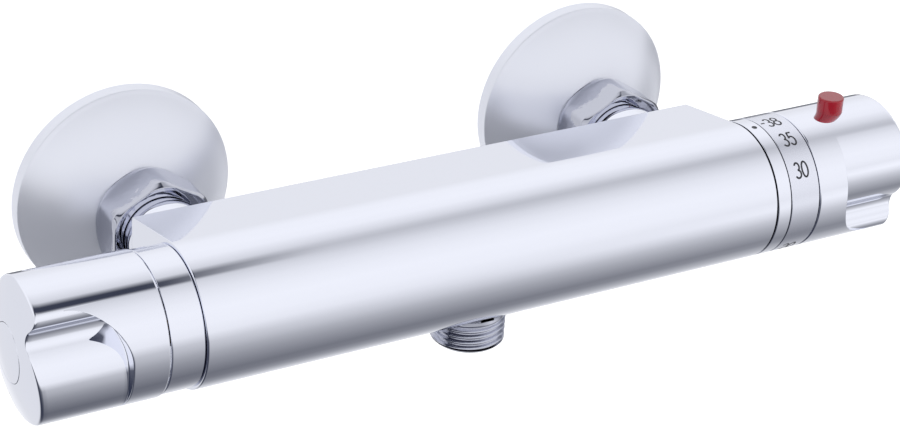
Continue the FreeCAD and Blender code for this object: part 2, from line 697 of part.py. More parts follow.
def dome_drop():
    """How far a handle's dome falls from its crown to the edge of the end cap."""
    dome, cap = size("dome_radius"), size("cap_radius")
    return Size(dome.value - math.sqrt(dome.value ** 2 - cap.value ** 2),
                "(Sizes.dome_radius - sqrt(Sizes.dome_radius ^ 2 - Sizes.cap_radius ^ 2))")


def scallop_block(label, start, handle_radius):
    """The block that cuts one finger scallop out of a handle."""
    body = new_body(label)
    radius = handle_radius - size("floor_inset")
    centre_y, centre_z = size("floor_y"), size("floor_z")
    foot_z = size("step_foot")
    rise = foot_z.value - centre_z.value
    foot_run = math.sqrt(radius.value ** 2 - rise ** 2)
    foot_y = Size(centre_y.value + foot_run, "(Sizes.floor_y + sqrt(%s ^ 2"
                  " - (Sizes.step_foot - Sizes.floor_z) ^ 2))" % radius.formula)
    hollow, nose = size("step_hollow"), size("step_nose")
    slant = math.sqrt(0.5)
    hollow_y = foot_y + hollow * (foot_run / radius.value)
    hollow_z = foot_z + hollow * (rise / radius.value)
    knee_y, knee_z = hollow_y - hollow * slant, hollow_z + hollow * slant
    nose_y, nose_z = knee_y - nose * slant, knee_z + nose * slant
    reach_out = 1 + nose.value / math.hypot(nose_y.value, nose_z.value)
    lip_y, lip_z = nose_y * reach_out, nose_z * reach_out
    end_run = 1 + radius.value / math.hypot(centre_y.value, centre_z.value)
    reach = size("scallop_reach")
    sketch = sketch_on(body, "YZ_Plane", start + size("scallop_wall"))
    draw_outline(sketch, [
        (foot_y, foot_z, Arc(radius, True)),
        (knee_y, knee_z, Arc(hollow, False)),
        (lip_y, lip_z, Arc(nose, True)),
        (lip_y * 1.5, lip_z * 1.5), (reach, reach), (reach, -reach),
        (centre_y * end_run * 1.5, centre_z * end_run * 1.5),
        (centre_y * end_run, centre_z * end_run)])
    feature(body, "Pad", sketch, Length=size("handle_length"))
    corner = sketch_on(body, "XZ_Plane")
    wall, bend = start + size("scallop_wall"), size("scallop_round")
    draw_outline(corner, [
        (wall - 2, ZERO), (wall, ZERO), (wall + bend, bend, Arc(bend, False)),
        (wall + bend, reach * 2), (wall - 2, reach * 2)])
    feature(body, "Pocket", corner, Length=reach * 4, Midplane=True)
    return body


def handle_blank(label, start, radius, skirt):
    """The turned handle before its scallops are cut; skirt adds the sleeve under the dial."""
    rim = start + size("handle_length")
    cap_edge = rim + size("dome_height") - dome_drop()
    bore = size("cap_radius") + size("slack")
    hollow_end = start + size("shell_depth")
    dome = Arc(size("dome_radius"), True)
    front = [(start, size("shell_radius")), (start, radius - size("edge")),
             (start + size("edge"), radius)]
    if skirt:
        tip, floor = size("skirt_start"), start + size("edge")
        front = [(floor, size("shell_radius")), (floor, size("skirt_bore")),
                 (tip, size("skirt_bore")), (tip, size("skirt_radius")),
                 (start, size("skirt_radius")), (start, radius - size("edge")),
                 (start + size("edge"), radius)]
    body = new_body(label)
    turn(body, front + [
        (rim - size("edge"), radius - size("edge")), (rim, radius - size("edge") * 2),
        (cap_edge, bore, dome),
        (start + size("web_end"), bore), (start + size("web_end"), size("screw_hole")),
        (start + size("hub_end"), size("screw_hole")), (start + size("hub_end"), size("hub_radius")),
        (hollow_end, size("hub_radius")), (hollow_end, size("shell_radius"))])
    return body


def make_handle(label, start, radius, rotation, skirt=False, button=False):
    """A handle: the blank less two scallops half a turn apart, and the button's hole."""
    blank = handle_blank(label + "_blank", start, radius, skirt)
    tools = [scallop_block("%s_scallop_%d" % (label, number), start, radius) for number in (1, 2)]
    tools[1].Placement = FreeCAD.Placement(
        FreeCAD.Vector(0, 0, 0), FreeCAD.Rotation(FreeCAD.Vector(1, 0, 0), 180))
    if button:
        hole = doc.addObject("Part::Cylinder", label + "_button_hole")
        hole.setExpression("Radius", "Sizes.button_radius + Sizes.run")
        hole.setExpression("Height", "Sizes.button_top")
        hole.setExpression("Placement.Base.x", "Sizes.button_x")
        hole.setExpression("Placement.Base.z", "Sizes.button_floor")
        tools.append(hole)
    cutter = doc.addObject("Part::MultiFuse", label + "_cutter")
    cutter.Shapes = tools
    handle = doc.addObject("Part::Cut", label)
    handle.Base = blank
    handle.Tool = cutter
    handle.Label = label
    place(handle, rotation)


def make_handle_fittings(prefix, start, rotation):
    """Spline insert, screw and end cap of one handle."""
    slack = size("slack")
    first = start + size("insert_start")
    last = start + size("hub_end") - slack
    socket = first + size("socket_depth")
    turned(prefix + "_handle_insert", [
        (first, size("spindle_nose") + size("run")), (socket, size("spindle_nose") + size("run")),
        (socket, size("spindle_tap") + slack), (last, size("spindle_tap") + slack),
        (last, size("insert_radius")), (first, size("insert_radius"))], rotation)
    seat = start + size("web_end") + slack
    head = seat + size("screw_head_height")
    screw = new_body(prefix + "_handle_screw")
    turn(screw, [
        (seat - size("screw_reach"), ZERO), (head, ZERO), (head, size("screw_head") - size("edge")),
        (head - size("edge"), size("screw_head")), (seat, size("screw_head")),
        (seat, size("screw_radius")), (seat - size("screw_reach"), size("screw_radius"))])
    drive = sketch_on(screw, "YZ_Plane", head)
    draw_hexagon(drive, size("screw_drive"))
    feature(screw, "Pocket", drive, Length=size("drive_depth"))
    place(screw, rotation)
    top = start + size("handle_length") + size("dome_height")
    edge = top - dome_drop()
    turned(prefix + "_end_cap", [
        (edge - size("cap_depth"), ZERO), (top, ZERO), (top, size("cap_flat")),
        (edge, size("cap_radius"), Arc(size("dome_radius"), False)),
        (edge - size("cap_depth"), size("cap_radius"))], rotation)


# ---------------------------------------------------------------- spindles and cartridges

def nose_corners():
    """The outer end that both spindles share, from the clip groove to the tapped hole."""
    root, radius, nose = size("clip_root"), size("spindle_radius"), size("spindle_nose")
    groove, start = size("clip_start"), size("spindle_nose_start")
    return [(groove, radius), (groove, root), (groove + size("clip_width"), root),
            (groove + size("clip_width"), radius), (start, radius), (start, nose)]


def tap_corners(end):
    """The splined end's face and tapped hole, back to the axis."""
    nose, bevel = size("spindle_nose"), size("edge")
    return [(end - bevel, nose), (end, nose - bevel), (end, size("spindle_tap")),
            (end - size("tap_depth"), size("spindle_tap")), (end - size("tap_depth"), ZERO)]


def seal_groove(at):
    """A spindle's O-ring groove that starts `at`."""
    radius, root = size("spindle_radius"), size("groove_root")
    end = at + size("spindle_ring_wire") * 2 + size("slack") * 2
    return [(at, radius), (at, root), (end, root), (end, radius)]


def spindle_end(start):
    """Where a spindle ends inside its insert's socket."""
    return start + size("insert_start") + size("socket_depth") - size("slack") * 3


def make_clip(label, rotation):
    """An open clip that keeps a spindle in its cartridge."""
    body = new_body(label)
    slack = size("slack")
    sketch = sketch_on(body, "YZ_Plane", size("clip_start") + slack)
    draw_circle(sketch, ZERO, ZERO, size("clip_radius"))
    draw_circle(sketch, ZERO, ZERO, size("clip_root") + slack)
    feature(body, "Pad", sketch, Length=size("clip_width") - slack * 2)
    mouth = sketch_on(body, "YZ_Plane", size("clip_start"))
    draw_outline(mouth, box_corners(ZERO, size("clip_radius") * 2,
                                    -size("clip_mouth"), size("clip_mouth")))
    feature(body, "Pocket", mouth, Length=size("clip_width") * 2, Reversed=True)
    place(body, rotation)


def ported_disc(label, start, end, upright, rotation):
    """A ceramic disc with two ports, on its Y or its Z axis."""
    body = new_body(label)
    sketch = sketch_on(body, "YZ_Plane", start)
    draw_circle(sketch, ZERO, ZERO, size("disc_radius"))
    for offset in (size("port_offset"), -size("port_offset")):
        spot = (ZERO, offset) if upright else (offset, ZERO)
        draw_circle(sketch, spot[0], spot[1], size("port_radius"))
    feature(body, "Pad", sketch, Length=end - start)
    place(body, rotation)


def cartridge_outside(groove_at, radius):
    """Outer corners that both cartridges share: O-ring groove, flange and neck."""
    groove = [(groove_at, radius), (groove_at, radius - size("groove_depth")),
              (groove_at + size("groove_width"), radius - size("groove_depth")),
              (groove_at + size("groove_width"), radius)]
    seat = size("body_half") + size("spigot_length") + size("slack")
    flange, end = size("head_flange_radius"), size("head_flange_end")
    return groove + [
        (seat, radius), (seat, flange), (end, flange), (end, size("head_neck_radius")),
        (size("head_neck_end"), size("head_neck_radius"))]


def make_flow_cartridge(rotation):
    slack, run = size("slack"), size("run")
    bearing = size("spindle_radius") + run
    turned("flow_lip_seal", tube(
        size("lip_start"), size("lip_end"), size("lip_bore"), size("disc_radius")), rotation)
    ported_disc("flow_fixed_disc", size("flow_head_start"), size("fixed_end"), True, rotation)
    ported_disc("flow_turning_disc", size("fixed_end") + slack, size("moving_end"), False, rotation)
    start, radius = size("flow_head_start"), size("flow_head_radius")
    housing = new_body("flow_cartridge_housing")
    outside = cartridge_outside(size("flow_ring_start"), radius)
    turn(housing, [(start, size("flow_head_bore")), (start, radius)] + outside + [
        (size("head_neck_end"), bearing), (size("neck_start"), bearing),
        (size("neck_start"), size("flow_head_bore"))])
    windows = drill(housing, "XZ_Plane", ZERO,
                    [(size("moving_end"), ZERO, size("flow_window_radius"))], size("body_radius"))
    repeat_round(housing, windows, 4)
    place(housing, rotation)
    ring("flow_cartridge_o_ring", size("flow_ring_start") + size("groove_width") * 0.5,
         size("flow_bore") - size("ring_wire") - run, size("ring_wire"), rotation)
    groove_at = size("flow_ring_start")
    spindle = [(size("flange_start"), ZERO), (size("flange_start"), size("flange_radius")),
               (size("flange_end"), size("flange_radius")), (size("flange_end"), size("spindle_radius"))]
    handle_start = size("flow_collar_end") + size("joint_gap")
    turned("flow_spindle", spindle + seal_groove(groove_at) + nose_corners()
           + tap_corners(spindle_end(handle_start)), rotation)
    ring("flow_spindle_o_ring", groove_at + size("spindle_ring_wire") + slack,
         size("spindle_ring_radius"), size("spindle_ring_wire"), rotation)
    make_clip("flow_spindle_clip", rotation)


def make_thermostat_housing(rotation):
    radius, root = size("shell_outer"), size("annulus_root")
    depth, width = size("groove_depth"), size("groove_width")
    corners = [(size("shell_start"), size("shoulder_bore")), (size("shell_start"), radius)]
    channels = ((size("end_ring_start"), size("end_ring_start") + width, radius - depth),
                (size("hot_channel_start"), size("hot_channel_end"), root),
                (size("seat_ring_start"), size("seat_ring_start") + width, radius - depth))
    for inner, outer, floor in channels:
        corners += [(inner, radius), (inner, floor), (outer, floor), (outer, radius)]
    corners += [(size("cold_channel_start"), radius), (size("cold_channel_start"), root),
                (size("shell_end"), root), (size("shell_end"), size("slide_bore")),
                (size("shoulder_end"), size("slide_bore")),
                (size("shoulder_end"), size("shoulder_bore"))]
    body = new_body("thermostat_housing")
    turn(body, corners)
    for at, count in ((size("hot_ring_port"), 6), (size("cold_ring_port"), 6)):
        hole = drill(body, "XZ_Plane", ZERO, [(at, ZERO, size("ring_port_radius"))],
                     size("body_radius"))
        repeat_round(body, hole, count)
    outlet = drill(body, "YZ_Plane", size("shell_start"),
                   [(size("mixed_port_offset"), ZERO, size("mixed_port_radius"))],
                   size("shoulder_end") - size("shell_start"))
    repeat_round(body, outlet, 8)
    place(body, rotation)


def make_thermostat(rotation):
    slack, run = size("slack"), size("run")
    bearing = size("spindle_radius") + run
    make_thermostat_housing(rotation)
    for label, at in (("mixed_side_o_ring", "end_ring_start"), ("hot_side_o_ring", "seat_ring_start"),
                      ("thermostat_head_o_ring", "head_ring_start")):
        ring(label, size(at) + size("groove_width") * 0.5,
             size("mix_bore") - size("ring_wire") - run, size("ring_wire"), rotation)
    start, end, root = size("head_start"), size("head_bore_end"), size("annulus_root")
    channel_end, radius = size("cold_channel_end"), size("shell_outer")
    turned("thermostat_head", [
        (start, size("head_bore")), (start, root), (channel_end, root), (channel_end, radius)]
        + cartridge_outside(size("head_ring_start"), radius) + [
        (size("head_neck_end"), bearing), (end, bearing), (end, size("head_bore"))], rotation)
    shuttle = new_body("shuttle")
    bore, outer = size("shuttle_bore"), size("slide_bore") - run
    turn(shuttle, [
        (size("shuttle_start"), bore), (size("web_start"), bore), (size("web_start"), size("web_hole")),
        (size("web_close"), size("web_hole")), (size("web_close"), bore), (size("shuttle_end"), bore),
        (size("shuttle_end"), outer), (size("shuttle_start"), outer)])
    port = drill(shuttle, "YZ_Plane", size("web_start"),
                 [(size("web_port_offset"), ZERO, size("web_port_radius"))],
                 size("web_close") - size("web_start"))
    repeat_round(shuttle, port, 8)
    place(shuttle, rotation)
    turned("wax_element", [
        (size("wax_start"), ZERO), (size("wax_start"), size("wax_radius") - size("edge") * 2),
        (size("wax_start") + size("edge") * 2, size("wax_radius")),
        (size("wax_flange_start"), size("wax_radius")),
        (size("wax_flange_start"), size("wax_flange_radius")),
        (size("wax_flange_end"), size("wax_flange_radius")),
        (size("wax_flange_end"), size("wax_stem_radius")),
        (size("wax_stem_end"), size("wax_stem_radius")),
        (size("wax_stem_end"), size("piston_radius") + run),
        (size("piston_well"), size("piston_radius") + run), (size("piston_well"), ZERO)], rotation)
    turned("wax_piston", tube(size("piston_start"), size("piston_end"), ZERO,
                              size("piston_radius")), rotation)
    turned("overtravel_cup", tube(size("cup_start"), size("cup_end"), ZERO, size("cup_radius")),
           rotation)
    turned("regulating_nut", [
        (size("nut_start"), size("nut_hollow")), (size("nut_floor"), size("nut_hollow")),
        (size("nut_floor"), size("nut_thread")), (size("nut_end"), size("nut_thread")),
        (size("nut_end"), size("nut_radius")), (size("nut_start"), size("nut_radius"))], rotation)
    groove_at = size("head_ring_start") + size("groove_width")
    flange_start, flange = size("temp_flange_start"), size("temp_flange_radius")
    tip_start, tip = size("temp_tip_start"), size("temp_tip_radius")
    handle_start = size("dial_end") + size("joint_gap")
    turned("temperature_spindle", [
        (tip_start, ZERO), (tip_start, tip), (flange_start, tip), (flange_start, flange),
        (end - slack * 3, flange), (end - slack * 3, size("spindle_radius"))]
        + seal_groove(groove_at) + nose_corners() + tap_corners(spindle_end(handle_start)), rotation)
    ring("temperature_spindle_o_ring", groove_at + size("spindle_ring_wire") + slack,
         size("spindle_ring_radius"), size("spindle_ring_wire"), rotation)
    make_clip("temperature_spindle_clip", rotation)
    make_stop_ring(rotation)
    make_spring("thermostat_return_spring", "return", "return", 7, rotation)
    make_spring("overtravel_spring", "over", "over", 3.5, rotation)


def make_stop_ring(rotation):
    """The ring whose lug stops the handle at 38 until the button is pressed."""
    body = new_body("safety_stop_ring")
    turn(body, tube(size("stop_start"), size("stop_end"), size("stop_bore"), size("stop_radius")))
    lug = sketch_on(body, "YZ_Plane", size("stop_start"))
    half = size("stop_lug_half")
    draw_outline(lug, box_corners(-half, half, size("stop_bore") + half, size("stop_lug")))
    feature(body, "Pad", lug, Length=size("stop_end") - size("stop_start"))
    place(body, rotation)


def make_button():
    """The safety button on top of the temperature handle, and its spring."""
    x = size("button_x")
    foot, top, radius = size("button_foot"), size("button_top"), size("button_radius")
    turned("safety_button", [
        (foot, size("button_hollow")), (size("button_roof"), size("button_hollow")),
        (size("button_roof"), ZERO), (top, ZERO), (top, radius - size("edge")),
        (top - size("edge"), radius), (foot, radius)], UP, x)
    make_spring("safety_button_spring", "button", "button_spring", 7, UP, x)


# ---------------------------------------------------------------- rings on the bar

def make_rings():
    gap, edge = size("joint_gap"), size("edge")
    start, bore = size("body_half") + gap, size("collar_bore")
    turned("flow_collar", sleeve(
        start, size("flow_collar_end"), bore, size("flow_collar_radius"), edge), TURNED)
    turned("index_collar", sleeve(
        start, size("index_collar_end"), bore, size("body_radius"), edge), ALONG)
    turned("dial_ring", sleeve(
        size("index_collar_end") + gap, size("dial_end"), size("dial_bore"), size("body_radius"),
        edge), ALONG)


# ---------------------------------------------------------------- inlets

def make_union_nut(label, x):
    """A hexagon nut with a big front bevel, a front recess and a lip round the tail."""
    front, back = size("nut_front"), size("nut_back")
    corner, face = size("nut_corner"), size("nut_face")
    bevel = size("back_bevel")
    body = new_body(label)
    turn(body, [
        (front, size("nut_recess")), (front, face), (front + size("front_bevel"), corner),
        (back - bevel, corner), (back, face), (back, size("nut_female")),
        (size("nut_lip_end"), size("nut_female")), (size("nut_lip_end"), size("nut_lip")),
        (size("nut_recess_end"), size("nut_lip")), (size("nut_recess_end"), size("nut_recess"))])
    flats = sketch_on(body, "YZ_Plane", front - 1)
    draw_circle(flats, ZERO, ZERO, corner * 2)
    draw_hexagon(flats, size("nut_flat"))
    feature(body, "Pocket", flats, Length=back, Reversed=True)
    place(body, TO_WALL, x)


def make_check_valve(prefix, x):
    """Cartridge, poppet and spring that let water pass only towards the bar."""
    start, end, bore = size("check_start"), size("check_end"), size("check_bore")
    seat, radius = size("check_seat"), size("check_radius")
    body = new_body(prefix + "_check_valve")
    turn(body, [
        (start, size("guide_bore")), (size("guide_end"), size("guide_bore")),
        (size("guide_end"), bore), (seat, bore), (seat, size("check_seat_bore")),
        (end, size("check_seat_bore") + size("edge") * 4), (end, radius), (start, radius)])
    port = drill(body, "YZ_Plane", start,
                 [(size("guide_port_offset"), ZERO, size("guide_port"))],
                 size("guide_end") - start)
    repeat_round(body, port, 4)
    place(body, TO_WALL, x)
    head, head_end = size("poppet_head_start"), size("poppet_head_end")
    turned(prefix + "_check_poppet", [
        (size("poppet_stem_start"), ZERO), (size("poppet_stem_start"), size("poppet_stem")),
        (head, size("poppet_stem")), (head, size("poppet_radius")),
        (head_end - size("edge"), size("poppet_radius")),
        (head_end, size("poppet_radius") - size("edge")), (head_end, ZERO)], TO_WALL, x)
    make_spring(prefix + "_check_spring", "check", "check_spring", 4, TO_WALL, x)


def make_filter_washer(label, x):
    """A rubber washer that holds a perforated screen."""
    start, end = size("washer_start"), size("washer_end")
    hole = size("check_bore") + size("edge") * 4
    body = new_body(label)
    turn(body, [
        (size("screen_start"), ZERO), (size("screen_end"), ZERO), (size("screen_end"), hole),
        (end, hole), (end, size("washer_radius")), (start, size("washer_radius")),
        (start, hole), (size("screen_start"), hole)])
    for row, count in ((1, 6), (2, 12)):
        cut = drill(body, "YZ_Plane", size("screen_start"),
                    [(size("screen_pitch") * row, ZERO, size("screen_hole"))],
                    size("screen_end") - size("screen_start"))
        repeat_round(body, cut, count)
    place(body, TO_WALL, x)


def make_inlet(prefix, x):
    """Everything between the casting and the wall on one inlet."""
    slack, bore = size("slack"), size("tail_bore")
    turned(prefix + "_inlet_tail", [
        (size("tail_start"), size("inlet_way") - slack), (size("tail_shoulder"), size("inlet_way") - slack),
        (size("tail_shoulder"), bore), (size("tail_flange_end"), bore),
        (size("tail_flange_end"), size("tail_flange_radius")),
        (size("tail_flange_start"), size("tail_flange_radius")),
        (size("tail_flange_start"), size("tail_tube")), (size("tail_neck_end"), size("tail_tube")),
        (size("tail_neck_end"), size("tail_neck") - size("edge")),
        (size("tail_neck_end") - size("edge"), size("tail_neck")),
        (size("tail_neck_start"), size("tail_neck")), (size("tail_neck_start"), size("tail_thread")),
        (size("tail_start"), size("tail_thread"))], TO_WALL, x)
    make_union_nut(prefix + "_union_nut", x)
    make_filter_washer(prefix + "_filter_washer", x)
    make_check_valve(prefix, x)
    make_wall_parts(prefix, x)


def make_wall_parts(prefix, x):
    """Wall connector, wall plate and foam seal of one inlet."""
    way, thread, pipe = size("union_bore"), size("union_thread"), size("half_inch")
    start, thread_end, end = size("union_start"), size("union_thread_end"), size("union_end")
    hexagon, hexagon_end, edge = size("union_hex"), size("union_hex_end"), size("edge")
    turned(prefix + "_wall_connector", [
        (start, way), (end, way), (end, pipe - size("union_lead")), (end - size("union_lead"), pipe),
        (hexagon_end, pipe), (hexagon_end, hexagon), (size("union_groove_end"), hexagon),
        (size("union_groove_end"), size("union_groove")), (thread_end, size("union_groove")),
        (thread_end, thread), (start + edge, thread), (start, thread - edge)], TO_WALL, x)
    wall, rim, hole = size("wall_gap"), size("plate_radius"), size("plate_hole")
    band, bevel, thick = size("plate_band"), size("plate_bevel"), size("plate_wall")
    front, dome = size("plate_front"), size("plate_dome")
    shoulder = wall - band - bevel
    turned(prefix + "_wall_plate", [
        (wall, rim - thick), (wall, rim), (wall - band, rim), (shoulder, rim - bevel),
        (front, hole, Arc(dome, True)), (front + thick, hole),
        (shoulder + thick, rim - bevel - thick, Arc(dome, False)),
        (wall - band, rim - thick)], TO_WALL, x)
    turned(prefix + "_wall_seal", tube(
        wall - size("foam_depth"), wall, size("foam_inner"), size("foam_outer")), TO_WALL, x)


# ---------------------------------------------------------------- the whole valve

def build():
    make_casting()
    make_outlet()
    make_rings()
    flow_start = size("flow_collar_end") + size("joint_gap")
    temp_start = size("dial_end") + size("joint_gap")
    make_flow_cartridge(TURNED)
    make_handle("flow_handle", flow_start, size("flow_handle_radius"), TURNED)
    make_handle_fittings("flow", flow_start, TURNED)
    make_thermostat(ALONG)
    make_handle("temperature_handle", temp_start, size("temp_handle_radius"), ALONG,
                skirt=True, button=True)
    make_handle_fittings("temperature", temp_start, ALONG)
    make_button()
    for prefix, x in (("hot", -size("inlet_half")), ("cold", size("inlet_half"))):
        make_inlet(prefix, x)


def sub_parts():
    """The objects that stand for one sub-part each: what no other object is made from."""
    kinds = ("PartDesign::Body", "Part::Cut", "Part::Feature")
    return [item for item in doc.Objects
            if item.TypeId in kinds and not [user for user in item.InList if user.TypeId in (
                "Part::Cut", "Part::MultiFuse")]]


build()
doc.recompute()
faults = [item.Label for item in doc.Objects if "Invalid" in item.State or "Error" in item.State]
if faults:
    raise RuntimeError("not computed: " + ", ".join(faults))
os.makedirs("parts", exist_ok=True)
for item in sub_parts():
    if item.Shape.isNull() or not item.Shape.isValid():
        raise RuntimeError("bad shape: " + item.Label)
    if len(item.Shape.Solids) != 1:
        raise RuntimeError("not one solid: " + item.Label)
    item.Shape.exportStep("parts/%s.step" % item.Label)
print("%d sub-parts" % len(sub_parts()))
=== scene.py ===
import json
import math
import bmesh
import bpy
import numpy as np
from bpy.props import FloatProperty, FloatVectorProperty, PointerProperty
from mathutils import Matrix, Vector


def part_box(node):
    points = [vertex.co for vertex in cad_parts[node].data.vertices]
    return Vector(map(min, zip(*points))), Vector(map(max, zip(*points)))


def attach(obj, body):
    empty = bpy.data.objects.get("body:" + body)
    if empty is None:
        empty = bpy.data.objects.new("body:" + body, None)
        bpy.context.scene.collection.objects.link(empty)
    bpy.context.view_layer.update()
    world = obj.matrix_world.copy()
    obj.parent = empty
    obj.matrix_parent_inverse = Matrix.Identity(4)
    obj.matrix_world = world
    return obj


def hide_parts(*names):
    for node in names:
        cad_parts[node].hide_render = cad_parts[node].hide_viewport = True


bl_info = {
    "name": "Thermostatic bar shower valve",
    "version": (1, 0, 0),
    "blender": (4, 5, 0),
    "location": "3D View > Sidebar > Shower valve",
    "description": "Dresses the packed shower valve with finished surfaces and a plain studio",
    "category": "Add Mesh",
}

# Shape functions work in millimetres; properties and finished meshes are in metres.
# X runs along the bar to the temperature handle, Y points into the wall, Z is up.
MM = 0.001
TURN = 2 * math.pi
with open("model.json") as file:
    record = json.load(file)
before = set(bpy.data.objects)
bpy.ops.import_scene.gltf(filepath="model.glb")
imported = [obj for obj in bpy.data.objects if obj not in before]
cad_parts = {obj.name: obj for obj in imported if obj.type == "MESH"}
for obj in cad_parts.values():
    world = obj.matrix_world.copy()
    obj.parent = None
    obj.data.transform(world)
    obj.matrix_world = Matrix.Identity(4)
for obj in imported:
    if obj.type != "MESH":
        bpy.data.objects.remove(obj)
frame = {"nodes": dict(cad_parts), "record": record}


def span(node):
    """The lowest and highest corner of a node of the frame, in millimetres."""
    low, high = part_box(node)
    return np.array(low) / MM, np.array(high) / MM


# ---------------------------------------------------------------- places and shared sizes

BAR_LOW, BAR_HIGH = span("valve_body")
BAR_RADIUS = BAR_HIGH[2]
AXIS = np.array([(BAR_LOW[0] + BAR_HIGH[0]) / 2, BAR_LOW[1] + BAR_RADIUS, 0.0])
SPIGOT_LENGTH = 3.6
SPIGOT_RADIUS = 16.0
HALF_BAR = (BAR_HIGH[0] - BAR_LOW[0]) / 2 - SPIGOT_LENGTH
BACK_DEPTH = BAR_HIGH[1] - AXIS[1]
WALL = -AXIS[1]
HOT_X = 0.0
COLD_X = 2 * AXIS[0]
JOINT_GAP = 0.3
# Half the width of the holes' windows along the bar, and half their height on its flat back.
WINDOW_HALF = 12.4
WINDOW_RISE = 10.58
# Radii of the casting's holes and of the outlet's water way, and where the holes end, from the axis.
INLET_HOLE = 10.0
INLET_FLOOR = 17.0
OUTLET_HOLE = 10.58
OUTLET_FLOOR = -14.0
WATERWAY = 7.0
# How far the middle of a domed end stands past its rim; the radii of its cap and the cap's mouth.
CROWN = 3.8
CAP_RADIUS = 8.0
CAP_MOUTH = 8.1
# The radius of the G 1/2 threads' crests, and how far a ring's skin lies under its box.
CREST = 10.48
SKIN_DROP = 0.02
# Even shares of the way from one row of a grid to another.
QUARTERS = (0.25, 0.5, 0.75, 1.0)

# Each stand turns a piece's own X axis, the one that it is turned about, to where it lies.
ALONG = np.array([[1, 0, 0], [0, 1, 0], [0, 0, 1]], float)
TURNED = np.array([[-1, 0, 0], [0, -1, 0], [0, 0, 1]], float)
TO_WALL = np.array([[0, 1, 0], [-1, 0, 0], [0, 0, 1]], float)
DOWN = np.array([[0, 0, -1], [0, 1, 0], [1, 0, 0]], float)
UP = np.array([[0, 0, 1], [0, 1, 0], [-1, 0, 0]], float)


# ---------------------------------------------------------------- sizes and colours to change

def length(millimetres, name, description):
    """A length property whose default is written in millimetres."""
    return FloatProperty(name=name, description=description, default=millimetres * MM,
                         unit="LENGTH", precision=5)


def angle(degrees, name, description):
    """An angle property whose default is written in degrees."""
    return FloatProperty(name=name, description=description, default=math.radians(degrees),
                         subtype="ANGLE")


def linear(code):
    """The linear colour of an sRGB hex value such as #808080."""
    share = np.array([int(code[at:at + 2], 16) for at in (1, 3, 5)]) / 255
    return tuple(np.where(share <= 0.04045, share / 12.92, ((share + 0.055) / 1.055) ** 2.4))


def colour(code, name, description):
    """A colour property whose default is an sRGB hex value."""
    return FloatVectorProperty(name=name, description=description, default=linear(code),
                               subtype="COLOR", size=3, min=0, max=1)


class BarSizes(bpy.types.PropertyGroup):
    back_half: length(14.6, "Back half height", "Half the height of the flat back")
    back_round: length(0.8, "Back rounding", "Rounding of the long edges at the back")
    end_round: length(0.45, "End rounding", "Rounding of the casting's two ends")
    edge: length(0.4, "Edge", "Rounding of the rings' edges")


class HandleSizes(bpy.types.PropertyGroup):
    reach: length(32.9, "Length", "Length of a handle to its rim")
    dome: length(51.9, "Dome radius", "Radius of the domed end")
    inset: length(5.3, "Scallop inset", "Handle radius less the radius of the scallop's floor")
    wall: length(10.1, "Scallop start", "Inner wall of the scallop, from the handle's start")
    sweep: length(15.8, "Scallop corner", "Radius of that wall's upper corner")
    rim: length(0.7, "Rim rounding", "Rounding where a handle meets its domed end")


class DialSizes(bpy.types.PropertyGroup):
    height: length(4.5, "Numeral height", "Height of a numeral, round the dial")
    width: length(1.95, "Numeral width", "Width of one numeral, along the bar")
    stroke: length(0.57, "Stroke", "Width of the numerals' stroke")
    relief: length(0.012, "Relief", "Thickness of the printed numerals")


class InletSizes(bpy.types.PropertyGroup):
    across: length(28.8, "Across flats", "Width of the union nuts across their flats")
    corner: length(15.8, "Corner radius", "Radius of the union nuts at their corners")
    plate_dome: length(45.0, "Plate dome", "Radius of the wall plates' dome")
    pitch: length(1.814, "Thread pitch", "Pitch of the G 1/2 threads")
    thread: length(1.0, "Thread depth", "Depth of the G 1/2 threads")


class Finishes(bpy.types.PropertyGroup):
    chrome: colour("#EFF1FA", "Chrome", "Tint of the polished chrome")
    plate: colour("#EEF0F8", "Plate chrome", "Tint of the wall plates' chrome")
    forged: colour("#C4C6D1", "Nut chrome", "Tint of the nuts' and threads' chrome")
    satin: colour("#E6E8F2", "Satin chrome", "Tint of the dial's satin chrome")
    print: colour("#2B2C33", "Print", "Colour of the numerals and the index dot")
    red: colour("#A00D22", "Button red", "Colour of the safety button")
    brass: colour("#D9BA73", "Brass", "Tint of the turned brass")
    steel: colour("#C4C6C9", "Steel", "Tint of the stainless steel")
    nylon: colour("#E9E7DD", "White plastic", "Colour of the moulded inner pieces")
    ceramic: colour("#F1EFE8", "Ceramic", "Colour of the ground discs")
    rubber: colour("#1B1B1C", "Rubber", "Colour of the seals")
    foam: colour("#55565A", "Foam", "Colour of the foam seals behind the wall plates")


class StageSettings(bpy.types.PropertyGroup):
    azimuth: angle(-31.374, "Azimuth", "Direction that the camera looks in")
    elevation: angle(28.135, "Elevation", "How far the camera looks down")
    roll: angle(3.811, "Roll", "Turn of the camera about its view")
    distance: length(687.9, "Distance", "Distance from the camera to its target")
    lens: FloatProperty(name="Lens", description="Focal length in millimetres for a 36 mm sensor",
                        default=101.08)
    target_x: length(-8.092, "Target X", "Target of the camera, from the middle of the bar")
    target_z: length(12.457, "Target Z", "Height of that target above the bar's axis")
    floor: length(-250.0, "Floor", "Height of the floor under the valve")


def chosen(group):
    """A property group of the scene."""
    return getattr(bpy.context.scene, group)


def mm(value):
    """A property's length in millimetres."""
    return value / MM


# ---------------------------------------------------------------- surfaces

